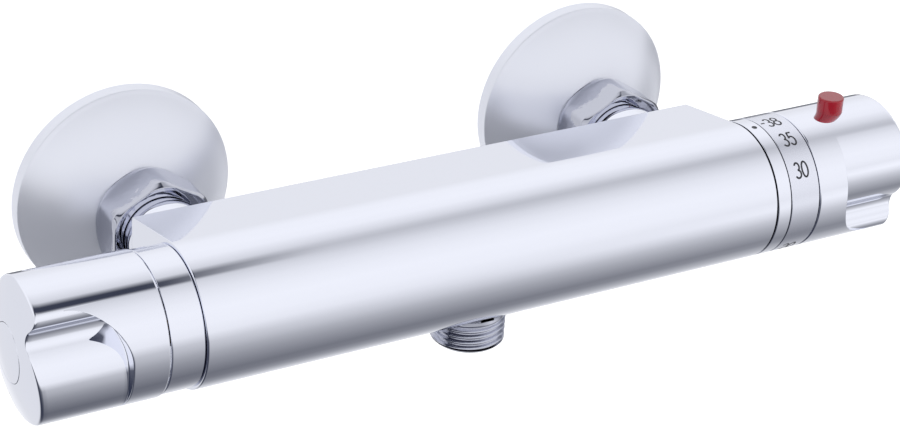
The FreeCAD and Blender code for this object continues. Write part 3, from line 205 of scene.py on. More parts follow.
def rounded(corners, steps=4):
    """A closed outline of (distance, radius) with its corners rounded, and its outward directions.

    A corner is (distance, radius, rounding); without a rounding it is one point of a smooth run.
    A rounded corner is the arc that touches both its sides: it starts before the corner by the
    rounding times the tangent of half the turn, and its heading turns evenly from side to side.
    """
    table = np.array([(tuple(corner) + (0.0,))[:3] for corner in corners], float)
    spots, bend = table[:, :2], table[:, 2:]
    into = spots - np.roll(spots, 1, axis=0)
    away = np.roll(spots, -1, axis=0) - spots
    heading = np.arctan2(into[:, 1], into[:, 0])[:, None]
    leaving = np.arctan2(away[:, 1], away[:, 0])[:, None]
    turn = (leaving - heading + math.pi) % TURN - math.pi
    share = np.linspace(0, 1, steps + 1)[None, :]
    angle = heading + turn * share
    left = np.stack([-np.sin(angle), np.cos(angle)], axis=-1)
    side = np.sign(turn)[..., None] * bend[..., None]
    start = np.stack([np.cos(heading), np.sin(heading)], axis=-1)
    first_left = np.stack([-np.sin(heading), np.cos(heading)], axis=-1)
    reach = (bend * np.tan(np.abs(turn) / 2))[..., None]
    centre = spots[:, None] - start * reach + first_left * side
    points = centre - left * side
    area = np.sum(spots[:, 0] * np.roll(spots[:, 1], -1) - spots[:, 1] * np.roll(spots[:, 0], -1))
    keep = (bend > 0) | (np.arange(steps + 1)[None, :] == steps // 2)
    return points[keep], -left[keep] * np.sign(area)


def arc_run(start, end, radius, count=24):
    """Points of the arc between two corners; a positive radius bulges left of the way there."""
    start, end = np.array(start[:2], float), np.array(end[:2], float)
    chord = end - start
    half = np.hypot(*chord) / 2
    normal = np.array([-chord[1], chord[0]]) / (2 * half)
    rise = math.sqrt(radius ** 2 - half ** 2)
    centre = (start + end) / 2 - normal * rise * np.sign(radius)
    opening = math.asin(half / abs(radius))
    share = np.linspace(-opening, opening, count + 1)[1:-1, None]
    run = centre + chord / (2 * half) * np.sin(share) * abs(radius)
    run = run + normal * np.cos(share) * radius
    return [tuple(point) for point in run]


class Skin:
    """Gathers grids of points with their outward directions into one closed mesh."""

    def __init__(self):
        self.points = np.zeros((0, 3))
        self.normals = np.zeros((0, 3))
        self.faces = []

    def lay(self, points, normals):
        """Adds a grid of points; returns the grid of their numbers."""
        first = len(self.points)
        self.points = np.vstack([self.points, points.reshape(-1, 3)])
        self.normals = np.vstack([self.normals, normals.reshape(-1, 3)])
        return first + np.arange(points[..., 0].size).reshape(points.shape[:-1])

    def cover(self, numbers, around=False, along=False):
        """Covers a grid of point numbers with four-sided faces, closed across or along it."""
        if around:
            numbers = np.hstack([numbers, numbers[:, :1]])
        if along:
            numbers = np.vstack([numbers, numbers[:1]])
        sides = [numbers[:-1, :-1], numbers[1:, :-1], numbers[1:, 1:], numbers[:-1, 1:]]
        self.faces.append(np.stack(sides, axis=-1).reshape(-1, 4))

    def fan(self, ring, point, normal):
        """Closes a ring of point numbers with triangles to one point."""
        middle = self.lay(np.array([point], float), np.array([normal], float))[0]
        triangles = [ring, np.roll(ring, -1), np.full_like(ring, middle)]
        self.faces.append(np.stack(triangles, axis=-1))

    def outward(self, faces):
        """Turns the faces that point against their corners' outward directions."""
        corners = self.points[faces]
        facing = np.cross(corners[:, 2] - corners[:, 0], corners[:, -1] - corners[:, 1])
        against = np.sum(facing * self.normals[faces].sum(axis=1), axis=1) < 0
        return np.where(against[:, None], faces[:, ::-1], faces)

    def make(self, name, material, stand, origin, exact=True):
        """The mesh object in the frame's own place; exact keeps the outward directions given."""
        mesh = bpy.data.meshes.new(name)
        faces = [row for part in self.faces for row in self.outward(part).tolist()]
        points = (self.points @ stand + origin) * MM
        mesh.from_pydata(points.tolist(), [], faces)
        mesh.polygons.foreach_set("use_smooth", np.ones(len(faces), bool))
        mesh.materials.append(material)
        if exact:
            normals = self.normals @ stand
            normals = normals / np.linalg.norm(normals, axis=1, keepdims=True)
            mesh.normals_split_custom_set_from_vertices(normals.tolist())
        mesh.validate()
        mesh.update()
        piece = bpy.data.objects.new(name, mesh)
        bpy.context.scene.collection.objects.link(piece)
        return piece


def wheel(x, radius, angle, lean, out, swirl):
    """Points round the X axis at each angle, with directions of that much along, out and round."""
    cosine, sine = np.cos(angle), np.sin(angle)
    grid = np.stack([x, radius * cosine, radius * sine], axis=-1)
    return grid, np.stack([lean + 0 * angle, out * cosine - swirl * sine,
                           out * sine + swirl * cosine], axis=-1)


def turned(outline, columns=160, thread=None):
    """A new skin of an outline turned about the X axis: each point goes round its own circle.

    An outline that meets the axis is closed there with fans, and any other closes on itself.
    A thread (start, end, depth, pitch) lowers the outside between its ends by half its depth
    times one less the cosine of the distance in pitches less the share of a turn.
    """
    points, normals = outline
    angle = np.linspace(0, TURN, columns, endpoint=False)[None, :]
    x, radius, lean, out = (value[:, None] + 0 * angle for value in (*points.T, *normals.T))
    swirl = 0 * x
    if thread:
        start, end, depth, pitch = thread
        fade = np.clip((x - start) / pitch, 0, 1) * np.clip((end - x) / pitch, 0, 1)
        depth = depth * fade * (out > 0.99)
        phase = TURN * x / pitch - angle
        slope = depth * 0.5 * np.sin(phase)
        radius = radius - depth * 0.5 * (1 - np.cos(phase))
        lean = lean + slope * TURN / pitch
        swirl = -slope / radius
    grid, facing = wheel(x, radius, angle, lean, out, swirl)
    pole = points[:, 1] < 1e-9
    skin = Skin()
    numbers = skin.lay(grid[~pole], facing[~pole])
    skin.cover(numbers, around=True, along=not pole.any())
    if pole.any():
        skin.fan(numbers[0], grid[0, 0], facing[0, 0])
        skin.fan(numbers[-1], grid[-1, 0], facing[-1, 0])
    return skin


def curve(begin, corner, end, shares=QUARTERS):
    """Rows of the second-degree curve that leaves begin towards corner and lands on end."""
    return [begin * (1 - share) ** 2 + corner * 2 * share * (1 - share) + end * share ** 2
            for share in shares]


def solid(corners, steps=4):
    """An outline that starts and ends on the axis, for a piece with no hole through it."""
    points, normals = rounded(corners, steps)
    normals[0] = (np.sign(points[0, 0] - points[-1, 0]), 0)
    normals[-1] = -normals[0]
    return points, normals


def sleeve(start, end, bore, radius, edge):
    """The corners of a ring with rounded edges."""
    return [(start, bore, edge), (start, radius, edge), (end, radius, edge), (end, bore, edge)]


def finish_piece(piece, body, node):
    """Lets a piece ride on its body and stand for its node."""
    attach(piece, body)
    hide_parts(node)


def dress(skin, name, node, body, slot, stand, origin=AXIS, look=None):
    """Makes a skin's piece, finished as its slot or another look, in the place of its node."""
    piece = skin.make(name, finish(look or slot), stand, origin)
    finish_piece(piece, body, node)


# ---------------------------------------------------------------- finishes

def add(tree, kind, settings=(), stops=(), **inputs):
    """Adds one shader node, sets its own settings, and fills or links its named inputs.

    An input is named by its label, or by i and its number; stops are a ramp's (position, level).
    """
    node = tree.nodes.new(kind)
    for name, value in dict(settings).items():
        setattr(node, name, value)
    for count, (position, level) in enumerate(stops):
        elements = node.color_ramp.elements
        element = elements[count] if count < 2 else elements.new(position)
        element.position = position
        element.color = (level, level, level, 1)
    for name, value in inputs.items():
        socket = node.inputs[int(name[1:])] if name[0] == "i" and name[1:].isdigit() else (
            node.inputs[name.replace("_", " ")])
        if isinstance(value, bpy.types.NodeSocket):
            tree.links.new(value, socket)
        else:
            socket.default_value = value
    return node


def blank(block, kind="Material"):
    """The empty node tree of a new material or world, and its output node."""
    block.use_nodes = True
    tree = block.node_tree
    tree.nodes.clear()
    return tree, tree.nodes.new("ShaderNodeOutput" + kind)


def grained(name, tint, metallic, rough, spread, grain, height, stretch=(1, 1, 1), **shader):
    """A finish whose roughness and relief follow a noise of a real grain size.

    tint names one of the colours to change. rough and spread give the roughness and how far the
    noise moves it, grain is the noise's size and height its relief, both in millimetres, and
    stretch draws the grain out.
    """
    material = bpy.data.materials.new(name)
    tree, output = blank(material)
    place = add(tree, "ShaderNodeTexCoord").outputs["Object"]
    mapped = add(tree, "ShaderNodeMapping", Vector=place, Scale=stretch).outputs["Vector"]
    noise = add(tree, "ShaderNodeTexNoise", Vector=mapped, Scale=1 / (grain * MM),
                Detail=3.0).outputs["Fac"]
    roughness = add(tree, "ShaderNodeMapRange", i0=noise, i3=max(rough - spread, 0.0),
                    i4=rough + spread).outputs["Result"]
    relief = add(tree, "ShaderNodeBump", Height=noise, Distance=height * MM, Strength=1.0)
    surface = add(tree, "ShaderNodeBsdfPrincipled", Metallic=metallic, Roughness=roughness,
                  Base_Color=(*getattr(chosen("valve_finishes"), tint), 1),
                  Normal=relief.outputs["Normal"], **shader)
    tree.links.new(surface.outputs["BSDF"], output.inputs["Surface"])
    return material


def polished_chrome():
    """Electroplated chrome, polished by hand: a mirror with flat waves some centimetres long."""
    return grained("electroplated_chrome_polished", "chrome", 1.0, 0.035, 0.02, 14.0, 0.004)


def plate_chrome():
    """Plated chrome of the pressed wall plates: softer than the rest, so it reads as pale."""
    return grained("electroplated_chrome_pressed_plate", "plate", 0.66, 0.36, 0.03, 9.0, 0.004)


def nut_chrome():
    """Thin chrome over the forged nuts: a darker mirror, broken up by the forging's waves."""
    return grained("electroplated_chrome_forged_nut", "forged", 1.0, 0.05, 0.03, 5.0, 0.1)


def satin_chrome():
    """Satin chrome of the dial: its grain is long round the ring and fine along it."""
    return grained("satin_chrome_drawn", "satin", 1.0, 0.16, 0.05, 1.2, 0.0008,
                   stretch=(8, 1, 1))


def brass():
    """Free-cutting brass as it leaves the lathe: fine turning lines round the piece."""
    return grained("turned_brass", "brass", 1.0, 0.24, 0.08, 0.8, 0.003, stretch=(6, 1, 1))


def plated_brass():
    """Chrome plated over a cut thread: duller than the polished pieces."""
    return grained("chrome_plated_cut_thread", "forged", 1.0, 0.12, 0.06, 1.5, 0.002)


def stainless_steel():
    """Drawn stainless steel wire and bar: grey, with a soft fine grain."""
    return grained("drawn_stainless_steel", "steel", 1.0, 0.22, 0.08, 0.5, 0.001)


def white_plastic():
    """Moulded acetal of the inner pieces: white, slightly waxy, with a fine spark texture."""
    return grained("moulded_white_acetal", "nylon", 0.0, 0.4, 0.08, 0.6, 0.004, IOR=1.48)


def ceramic():
    """Alumina discs, ground and lapped: smooth, cool white."""
    return grained("lapped_alumina_ceramic", "ceramic", 0.0, 0.15, 0.05, 0.4, 0.0005, IOR=1.76)


def black_rubber():
    """Moulded nitrile rubber of the seals: black, with a dull bloom."""
    return grained("moulded_nitrile_rubber", "rubber", 0.0, 0.55, 0.12, 0.5, 0.006, IOR=1.52)


def grey_foam():
    """Closed-cell foam behind the plates: matt, with cells of about a millimetre."""
    return grained("closed_cell_foam", "foam", 0.0, 0.85, 0.08, 0.9, 0.12, IOR=1.4)


def red_plastic():
    """Moulded red ABS of the safety button: glossy, with a clear reflection over a deep colour."""
    return grained("moulded_red_abs", "red", 0.0, 0.2, 0.05, 2.5, 0.002, IOR=1.36,
                   Coat_Weight=1.0, Coat_Roughness=0.1, Coat_IOR=1.36)


def dial_print():
    """Pad-printed ink of the numerals: dark grey, satin, with slightly uneven cover."""
    return grained("pad_printed_ink", "print", 0.0, 0.4, 0.08, 0.3, 0.001, IOR=1.5)


MAKERS = {maker.__name__: maker for maker in (
    polished_chrome, plate_chrome, nut_chrome, satin_chrome, brass, plated_brass, stainless_steel,
    white_plastic, ceramic, black_rubber, grey_foam, red_plastic, dial_print)}
MADE = {}


def finish(slot):
    """The material of a slot, made once."""
    if slot not in MADE:
        MADE[slot] = MAKERS[slot]()
    return MADE[slot]


# ---------------------------------------------------------------- the bar casting

def section_points(sizes):
    """The bar's cross-section in (Y, Z) with outward directions: the outline of three circles.

    The front circle and two small ones at the back corners are joined by the straight lines that
    touch them, so each stretch is a circle's centre plus its radius along the outward angle.
    """
    half, bend = mm(sizes.back_half), mm(sizes.back_round)
    tilt = math.atan2(half, BACK_DEPTH) + math.acos(BAR_RADIUS / math.hypot(half, BACK_DEPTH))
    back = BACK_DEPTH - bend
    rise = (BAR_RADIUS - bend - math.cos(tilt) * back) / math.sin(tilt)
    flat = np.linspace(-WINDOW_RISE, WINDOW_RISE, 9)
    stretches = ((0, 0, BAR_RADIUS, np.linspace(tilt, TURN - tilt, 193)),
                 (back, -rise, bend, np.linspace(TURN - tilt, TURN, 7)),
                 (back, flat, bend, 0 * flat),
                 (back, rise, bend, np.linspace(0, tilt, 7)))
    runs = []
    for y, z, radius, angle in stretches:
        facing = np.column_stack([np.cos(angle), np.sin(angle)])
        middle = np.column_stack([y + 0 * angle, z + 0 * angle])
        runs.append(np.column_stack([middle + facing * radius, facing]))
    section = np.vstack(runs)
    return section[:, :2], section[:, 2:]


def rim_of(numbers):
    """The point numbers round the edge of a grid, in order."""
    return np.concatenate([numbers[0, :-1], numbers[:-1, -1], numbers[-1, :0:-1], numbers[:0:-1, 0]])


def window(skin, rim, x, other, radius, surface, pocket):
    """Fills a window of the skin round a round hole, then lines the hole.

    The window's edge is drawn towards the hole's circle in steps along straight lines to the
    hole's centre, at x. other is the axis across the bar there. surface gives the skin's point
    and outward direction at two coordinates, and pocket lists the rings (radius, depth, out,
    down) of the hole below it.
    """
    plane, at = [0, other], np.array([x, 0.0])

    def upright(flat, deep):
        """Rows of (X, Y, Z) from pairs in the window's plane and one value across it."""
        rows = np.full((len(flat), 3), float(deep))
        rows[:, plane] = flat
        return rows

    edge = skin.points[rim][:, plane] - at
    angle = np.arctan2(edge[:, 1], edge[:, 0])
    circle = np.stack([np.cos(angle), np.sin(angle)], axis=-1)
    rows = [rim]
    for share in (0.3, 0.6, 0.85, 1.0):
        rows.append(skin.lay(*surface(edge * (1 - share) + circle * radius * share + at)))
    for reach, depth, out, down in pocket:
        rows.append(skin.lay(upright(circle * reach + at, depth), upright(-circle * out, down)))
    skin.cover(np.array(rows), around=True)
    skin.fan(rows[-1], upright([at], depth)[0], upright([[0, 0]], down)[0])


def bar_casting(sizes):
    """The casting: its section carried along X, rounded ends, spigots, bores and three holes.

    Past each end the section draws in along its outward directions as the end's rounding turns,
    and then runs in straight lines to the spigot's circle at the same polar angle.
    """
    section, facing = section_points(sizes)
    polar = np.arctan2(section[:, 1], section[:, 0])
    circle = np.stack([np.cos(polar), np.sin(polar)], axis=-1)
    bend = mm(sizes.end_round)
    stops = [x + side * WINDOW_HALF for x in (-AXIS[0], 0.0, AXIS[0]) for side in (-1, 1)]
    between = [np.linspace(left, right, 6)[:-1] for left, right in zip(stops[:-1], stops[1:])]
    barrel = np.concatenate([[bend - HALF_BAR], *between, [stops[-1], HALF_BAR - bend]])

    def end(side, mouth, floor, groove=()):
        """Rings (x, spots, lean, out, directions) from the barrel over one end and into its bore.

        mouth is the bore's radius and floor its distance from the bar's middle.
        """
        rings = []
        for angle in np.linspace(0, math.pi / 2, 7)[1:]:
            lean, out = math.sin(angle), math.cos(angle)
            rings.append((HALF_BAR - bend + bend * lean, section - facing * (bend * (1 - out)),
                          lean, out, facing))
        for share in QUARTERS:
            spots = (section - facing * bend) * (1 - share) + circle * SPIGOT_RADIUS * share
            rings.append((HALF_BAR, spots, 1, 0, facing))
        tip = HALF_BAR + SPIGOT_LENGTH
        bore = [(HALF_BAR, SPIGOT_RADIUS, 0, 1), (tip, SPIGOT_RADIUS, 0, 1),
                (tip, SPIGOT_RADIUS, 1, 0), (tip, mouth, 1, 0), (tip, mouth, 0, -1)]
        bore += [(x, radius, 0, -1) for x, radius in groove]
        bore += [(floor, mouth, 0, -1), (floor, mouth, 1, 0), (floor, WATERWAY, 1, 0),
                 (floor, WATERWAY, 0, -1)]
        rings += [(x, circle * radius, lean, out, circle) for x, radius, lean, out in bore]
        return [(side * x, spots, side * lean, out, directions)
                for x, spots, lean, out, directions in rings]

    flow_bore, flow_floor, port, port_front, port_back = 13.05, 48.0, 15.5, 62.0, 52.0
    thermostat_bore, thermostat_floor = 14.05, 34.0
    groove = [(port_front, flow_bore), (port_front, port), (port_back, port), (port_back, flow_bore)]
    rings = [(x, section, 0, 1, facing) for x in barrel] + end(1, thermostat_bore, thermostat_floor)
    rings += end(-1, flow_bore, flow_floor, groove)[::-1]
    skin = Skin()
    numbers = skin.lay(
        np.array([np.column_stack([np.full(len(section), x), spots]) for x, spots, *_ in rings]),
        np.array([np.column_stack([np.full(len(section), lean), directions * out])
                  for _, _, lean, out, directions in rings]))
    cover_with_windows(skin, numbers, section, facing, barrel)
    return skin


def cover_with_windows(skin, numbers, section, facing, barrel):
    """Covers the casting's grid, leaving a window for each of its three holes and filling it."""
    flat_back = np.flatnonzero((facing[:, 0] > 0.999) & (np.abs(section[:, 1]) < WINDOW_RISE + 0.1))
    under = np.flatnonzero((facing[:, 1] < -0.15) & (np.abs(section[:, 0]) < WINDOW_HALF))
    back = slice(flat_back[0] - 1, flat_back[-1] + 2)
    below = slice(under[0], under[-1] + 1)
    full = np.hstack([numbers, numbers[:, :1]])
    full = np.vstack([full, full[:1]])
    kept = np.ones((full.shape[0] - 1, full.shape[1] - 1), bool)
    tilt_cosine, tilt_sine = facing[0]

    def back_surface(spots):
        points = np.column_stack([spots[:, 0], np.full(len(spots), BACK_DEPTH), spots[:, 1]])
        return points, np.tile([0.0, 1.0, 0.0], (len(spots), 1))

    def under_surface(spots):
        y = spots[:, 1]
        round_part = y < BAR_RADIUS * tilt_cosine
        arc = -np.sqrt(np.maximum(BAR_RADIUS ** 2 - y ** 2, 0))
        z = np.where(round_part, arc, -(BAR_RADIUS - tilt_cosine * y) / tilt_sine)
        normal_y = np.where(round_part, y / BAR_RADIUS, tilt_cosine)
        normal_z = np.where(round_part, z / BAR_RADIUS, -tilt_sine)
        points = np.column_stack([spots[:, 0], y, z])
        return points, np.column_stack([0 * y, normal_y, normal_z])

    # heights from the axis: the top of the outlet hole's lining and the end of its water way
    start, end = -18.0, -10.5
    inlet = [(INLET_HOLE, BACK_DEPTH, 1, 0), (INLET_HOLE, INLET_FLOOR, 1, 0),
             (INLET_HOLE, INLET_FLOOR, 0, 1)]
    outlet = [(OUTLET_HOLE, start, 1, 0), (OUTLET_HOLE, OUTLET_FLOOR, 1, 0),
              (OUTLET_HOLE, OUTLET_FLOOR, 0, -1), (WATERWAY, OUTLET_FLOOR, 0, -1),
              (WATERWAY, OUTLET_FLOOR, 1, 0), (WATERWAY, end, 1, 0), (WATERWAY, end, 0, -1)]
    places = [(x, back, 2, back_surface, INLET_HOLE, inlet) for x in (-AXIS[0], AXIS[0])]
    places.append((0.0, below, 1, under_surface, OUTLET_HOLE, outlet))
    for x, columns, other, surface, radius, pocket in places:
        inside = np.flatnonzero(np.abs(barrel - x) < WINDOW_HALF + 0.01)
        block = full[inside[0]:inside[-1] + 1, columns]
        kept[inside[0]:inside[-1], columns.start:columns.stop - 1] = False
        window(skin, rim_of(block), x, other, radius, surface, pocket)
    sides = [full[:-1, :-1], full[1:, :-1], full[1:, 1:], full[:-1, 1:]]
    skin.faces.append(np.stack(sides, axis=-1)[kept])


# ---------------------------------------------------------------- handles

def scallop_outline(radius, inset):
    """The scallop's cross-section in (Y, Z), from its lip over the step and along its floor.

    Three arcs that touch: the step's nose, the hollow at its foot, and the floor, a circle of the
    handle's radius less the inset about a centre off the axis, as far as the handle's surface.
    """
    centre = np.array([2.2, -4.9])
    foot_z, hollow_bend, nose_bend = 6.0, 4.0, 3.0
    floor = radius - inset
    rise = foot_z - centre[1]
    run = math.sqrt(floor ** 2 - rise ** 2)
    foot = np.array([centre[0] + run, foot_z])
    hollow = foot + np.array([run, rise]) / floor * hollow_bend
    slant = math.sqrt(0.5)
    nose = hollow + np.array([-slant, slant]) * (hollow_bend + nose_bend)
    off = math.hypot(*nose)
    lean = math.acos((radius ** 2 - off ** 2 - nose_bend ** 2) / (2 * off * nose_bend))
    lip = math.atan2(nose[1], nose[0]) - lean
    deep = math.hypot(*centre)
    swing = math.acos((radius ** 2 - deep ** 2 - floor ** 2) / (2 * deep * floor))
    out = math.atan2(centre[1], centre[0]) + swing
    parts = [(nose, nose_bend, np.linspace(lip, -math.pi / 4, 20)),
             (hollow, hollow_bend, np.linspace(0.75 * math.pi, math.pi + math.atan2(rise, run), 20)),
             (centre, floor, np.linspace(math.atan2(rise, run), out, 90))]
    runs = [middle + bend * np.stack([np.cos(angle), np.sin(angle)], axis=-1)
            for middle, bend, angle in parts]
    return np.vstack([runs[0], runs[1][1:], runs[2][1:]])


def handle_columns(radius, inset):
    """Outer points and floor points of every column round a handle, as two (Y, Z) arrays.

    In a scallop the floor points run along its outline, and the outer points share its ends and
    are spread by the outline's length; between the scallops both are the handle's own circle.
    """
    outline = scallop_outline(radius, inset)
    way = np.concatenate([[0], np.cumsum(np.hypot(*np.diff(outline, axis=0).T))])
    polar = np.arctan2(outline[:, 1], outline[:, 0])
    even = polar[0] + (polar[-1] - polar[0]) * way / way[-1]
    blend = 0.25
    spread = np.minimum.accumulate((1 - blend) * polar + blend * even)
    outer = radius * np.stack([np.cos(spread), np.sin(spread)], axis=-1)
    plain = np.linspace(polar[-1], polar[0] - math.pi, 62)[1:-1]
    bare = radius * np.stack([np.cos(plain), np.sin(plain)], axis=-1)
    half_outer, half_floor = np.vstack([outer, bare]), np.vstack([outline, bare])
    return np.vstack([half_outer, -half_outer]), np.vstack([half_floor, -half_floor])


def scallop_wall(z, sizes):
    """Where the scallop's wall stands at a height: straight below the axis, a quarter circle above."""
    sweep = mm(sizes.sweep)
    height = np.clip(z, 0, sweep)
    return mm(sizes.wall) + sweep - np.sqrt(sweep ** 2 - height ** 2)


def handle_rows(outer, floor, sizes, back):
    """The handle's outside as a grid of rows by columns.

    Each column runs along the cylinder to the scallop's wall, round the wall's edge on a curve of
    second degree, down the wall to the floor point, and round its foot on another such curve. The
    wall stands at its own distance for each height.
    """
    flip = np.where(np.arange(len(outer)) < len(outer) // 2, 1.0, -1.0)
    depth = np.hypot(*(outer - floor).T)
    edge_bend, foot_bend, most = 0.3, 0.35, 0.3 * depth
    bend, corner = np.minimum(edge_bend, most), np.minimum(foot_bend, most)

    def wall_point(share):
        """The points that far down the wall, from its edge at 0 to its foot at 1."""
        spot = outer * (1 - share) + floor * share
        return np.column_stack([scallop_wall(spot[:, 1] * flip, sizes), spot])

    edge, foot = wall_point(0), wall_point(1)
    start = back[-1][0, 0]
    rows = list(back)
    for share in (0.02, 0.1, 0.3, 0.5, 0.7, 0.9, 0.98, 1.0):
        rows.append(np.column_stack([start + (edge[:, 0] - bend - start) * share, outer]))
    full_depth = np.maximum(depth, 1e-6)
    first = np.where(depth > 0, bend / full_depth, 0)[:, None]
    last = np.where(depth > 0, 1 - corner / full_depth, 1)[:, None]
    rows += curve(rows[-1], edge, wall_point(first))
    for share in np.linspace(0, 1, 15)[1:] ** 2:
        rows.append(wall_point(first + (last - first) * share))
    return rows + curve(rows[-1], foot, foot + np.column_stack([corner, 0 * floor]))


def rim_and_dome(rows, floor, sizes):
    """Adds the floor's run to the rim, the rim's rounding and the domed end to a handle's rows.

    The rounding is a curve of second degree, and the dome a sphere as far as the cap's mouth.
    Returns the direction of each column and the distance of the dome's edge at that mouth.
    """
    dome, bend = mm(sizes.dome), mm(sizes.rim)
    crown = mm(sizes.reach) + CROWN
    length_out = np.hypot(*floor.T)[:, None]
    ray = floor / length_out

    def dome_x(distance):
        return crown - dome + np.sqrt(dome ** 2 - distance ** 2)

    rim = np.column_stack([dome_x(length_out), floor])
    begin = rim - np.array([bend, 0, 0])
    start = rows[-1]
    for share in (0.05, 0.2, 0.4, 0.6, 0.8, 0.95, 1.0):
        rows.append(start + (begin - start) * share)
    inner = length_out - bend
    landing = np.column_stack([dome_x(inner), ray * inner])
    rows += curve(begin, rim, landing, np.linspace(0, 1, 7)[1:])
    for share in (0.03, 0.12, 0.3, 0.5, 0.7, 0.88, 0.97, 1.0):
        distance = inner + (CAP_MOUTH + 0.12 - inner) * share
        rows.append(np.column_stack([dome_x(distance), ray * distance]))
    return ray, dome_x(np.array([CAP_MOUTH]))[0]


def make_handle(name, node, body, stand, start, skirt):
    """One handle as a closed grid: its outside rows, the cap's recess and the hollow behind."""
    sizes = chosen("valve_handles")
    radius = span(node)[1][2]
    outer, floor = handle_columns(radius, mm(sizes.inset))
    edge, chamfer, step, hollow = 0.4, 0.12, 0.05, 15.0
    screw_hole, recess, hub, hub_front, hub_back = 2.2, 27.4, 9.5, 24.4, 8.0

    def rings(ray, places):
        """One row of the grid for each place (x, radius)."""
        return [np.column_stack([np.full(len(ray), float(x)), ray * reach]) for x, reach in places]

    # the temperature handle's skirt reaches back under the dial
    neck = [(0, hollow)]
    if skirt:
        inside, outside, tail, ledge = 16.3, 17.5, -8.9, 0.35
        neck = [(ledge, hollow), (ledge, inside), (tail, inside), (tail, outside), (0, outside)]
    back = rings(outer / radius, neck + [
        (0, radius - edge - step), (0, radius - edge), (chamfer, radius - chamfer), (edge, radius),
        (edge + step, radius)])
    rows = handle_rows(outer, floor, sizes, back)
    ray, brim = rim_and_dome(rows, floor, sizes)
    rows += rings(ray, (
        (brim - 0.1, CAP_MOUTH), (brim - 0.15, CAP_MOUTH), (recess, CAP_MOUTH),
        (recess, screw_hole), (hub_front, screw_hole), (hub_front, hub), (hub_back, hub),
        (hub_back, hollow)))
    skin = Skin()
    grid = np.array(rows) + np.array([start, 0, 0])
    numbers = skin.lay(grid, grid_directions(grid))
    skin.cover(numbers, around=True, along=True)
    piece = skin.make(name, finish("polished_chrome"), stand, AXIS, exact=False)
    tidy_grid(piece)
    finish_piece(piece, body, node)


def grid_directions(grid):
    """Outward directions of a closed grid: the cross product of its differences both ways."""
    along = np.roll(grid, -1, axis=0) - np.roll(grid, 1, axis=0)
    round_way = np.roll(grid, -1, axis=1) - np.roll(grid, 1, axis=1)
    facing = np.cross(along, round_way)
    size = np.linalg.norm(facing, axis=-1, keepdims=True)
    facing = facing / np.maximum(size, 1e-9)
    middle = grid.mean(axis=(0, 1))
    if np.sum(facing * (grid - middle)) < 0:
        facing = -facing
    return facing


def tidy_grid(piece):
    """Merges the points that fall together and turns every face outwards."""
    net = bmesh.new()
    net.from_mesh(piece.data)
    bmesh.ops.remove_doubles(net, verts=net.verts, dist=2e-6)
    bmesh.ops.dissolve_degenerate(net, edges=net.edges, dist=1e-6)
    bmesh.ops.recalc_face_normals(net, faces=net.faces)
    net.to_mesh(piece.data)
    net.free()
    piece.data.polygons.foreach_set("use_smooth", np.ones(len(piece.data.polygons), bool))
    piece.data.update()


def make_cap(name, node, body, stand, start):
    """The round end cap of a handle, whose top follows the handle's dome."""
    sizes = chosen("valve_handles")
    dome, top = mm(sizes.dome), start + mm(sizes.reach) + CROWN
    drop = dome - math.sqrt(dome ** 2 - CAP_RADIUS ** 2)
    edge = top - drop
    thick = 2.6
    foot = edge - thick
    outline = solid([(foot, 0), (foot, CAP_RADIUS, 0.2), (edge, CAP_RADIUS, 0.15)]
                    + arc_run((edge, CAP_RADIUS), (top, 0), dome, 20) + [(top, 0)])
    dress(turned(outline, 144), name, node, body, "polished_chrome", stand)


# ---------------------------------------------------------------- nuts, plates and threads

def union_nut(sizes):
    """The union nut: the smaller of a turned outline and a hexagon at every angle.

    The hexagon's radius is half its width over the cosine of the angle from the nearest flat. The
    two are joined by the sum of their inverse powers, which rounds the edge where they cross.
    """
    front, back, face, power, outside = 40.4, 53.6, 14.7, 56.0, 14.05
    thread, tube, mouth, seat, lip = 13.35, 11.1, 13.6, 43.9, 42.0
    corner, flat = mm(sizes.corner), mm(sizes.across) / 2
    points, normals = rounded(
        [(front, face, 0.4), (front + 1.8, corner, 0.9)]
        + [(x, corner) for x in np.linspace(front + 2.8, back - 4.0, 8)]
        + [(back - 2.6, corner, 1.2), (back, face, 0.4), (back, thread, 0.3), (seat, thread, 0.2),
           (seat, tube, 0.2), (lip, tube, 0.2), (lip, mouth, 0.3), (front, mouth, 0.25)], 6)
    angle = np.linspace(0, TURN, 360, endpoint=False)[None, :]
    off = (angle + math.pi / 6) % (math.pi / 3) - math.pi / 6
    hexagon = flat / np.cos(off)
    x, own = points[:, :1] + 0 * angle, points[:, 1:] + 0 * angle
    both = (own ** -power + hexagon ** -power) ** (-1 / power)
    radius = np.where(own > outside, both, own)
    share_own = np.where(own > outside, (radius / own) ** (power + 1), 1.0)
    share_flat = np.where(own > outside, (radius / hexagon) ** (power + 1), 0.0)
    skin = Skin()
    numbers = skin.lay(*wheel(x, radius, angle, normals[:, :1] * share_own,
                              normals[:, 1:] * share_own + share_flat, -share_flat * np.tan(off)))
    skin.cover(numbers, around=True, along=True)
    return skin


def plate_outline(sizes):
    """The wall plate's outline: hole, shallow dome, bevel, rim band and the hollow behind."""
    rim, hole = 32.2, 13.9
    band, bevel, thick, front = 4.2, 1.1, 1.3, WALL - 17.3
    dome = mm(sizes.plate_dome)
    shoulder = WALL - band - bevel
    outer, inner = (shoulder, rim - bevel), (front, hole)
    back_outer, back_inner = (shoulder + thick, rim - bevel - thick), (front + thick, hole)
    return rounded(
        [(WALL, rim - thick, 0.15), (WALL, rim, 0.15), (WALL - band, rim, 0.9), (*outer, 1.2)]
        + arc_run(outer, inner, -dome, 40) + [(*inner, 0.3), (*back_inner, 0.3)]
        + arc_run(back_inner, back_outer, dome, 20)
        + [(*back_outer, 0.3), (WALL - band, rim - thick, 0.3)], 6)


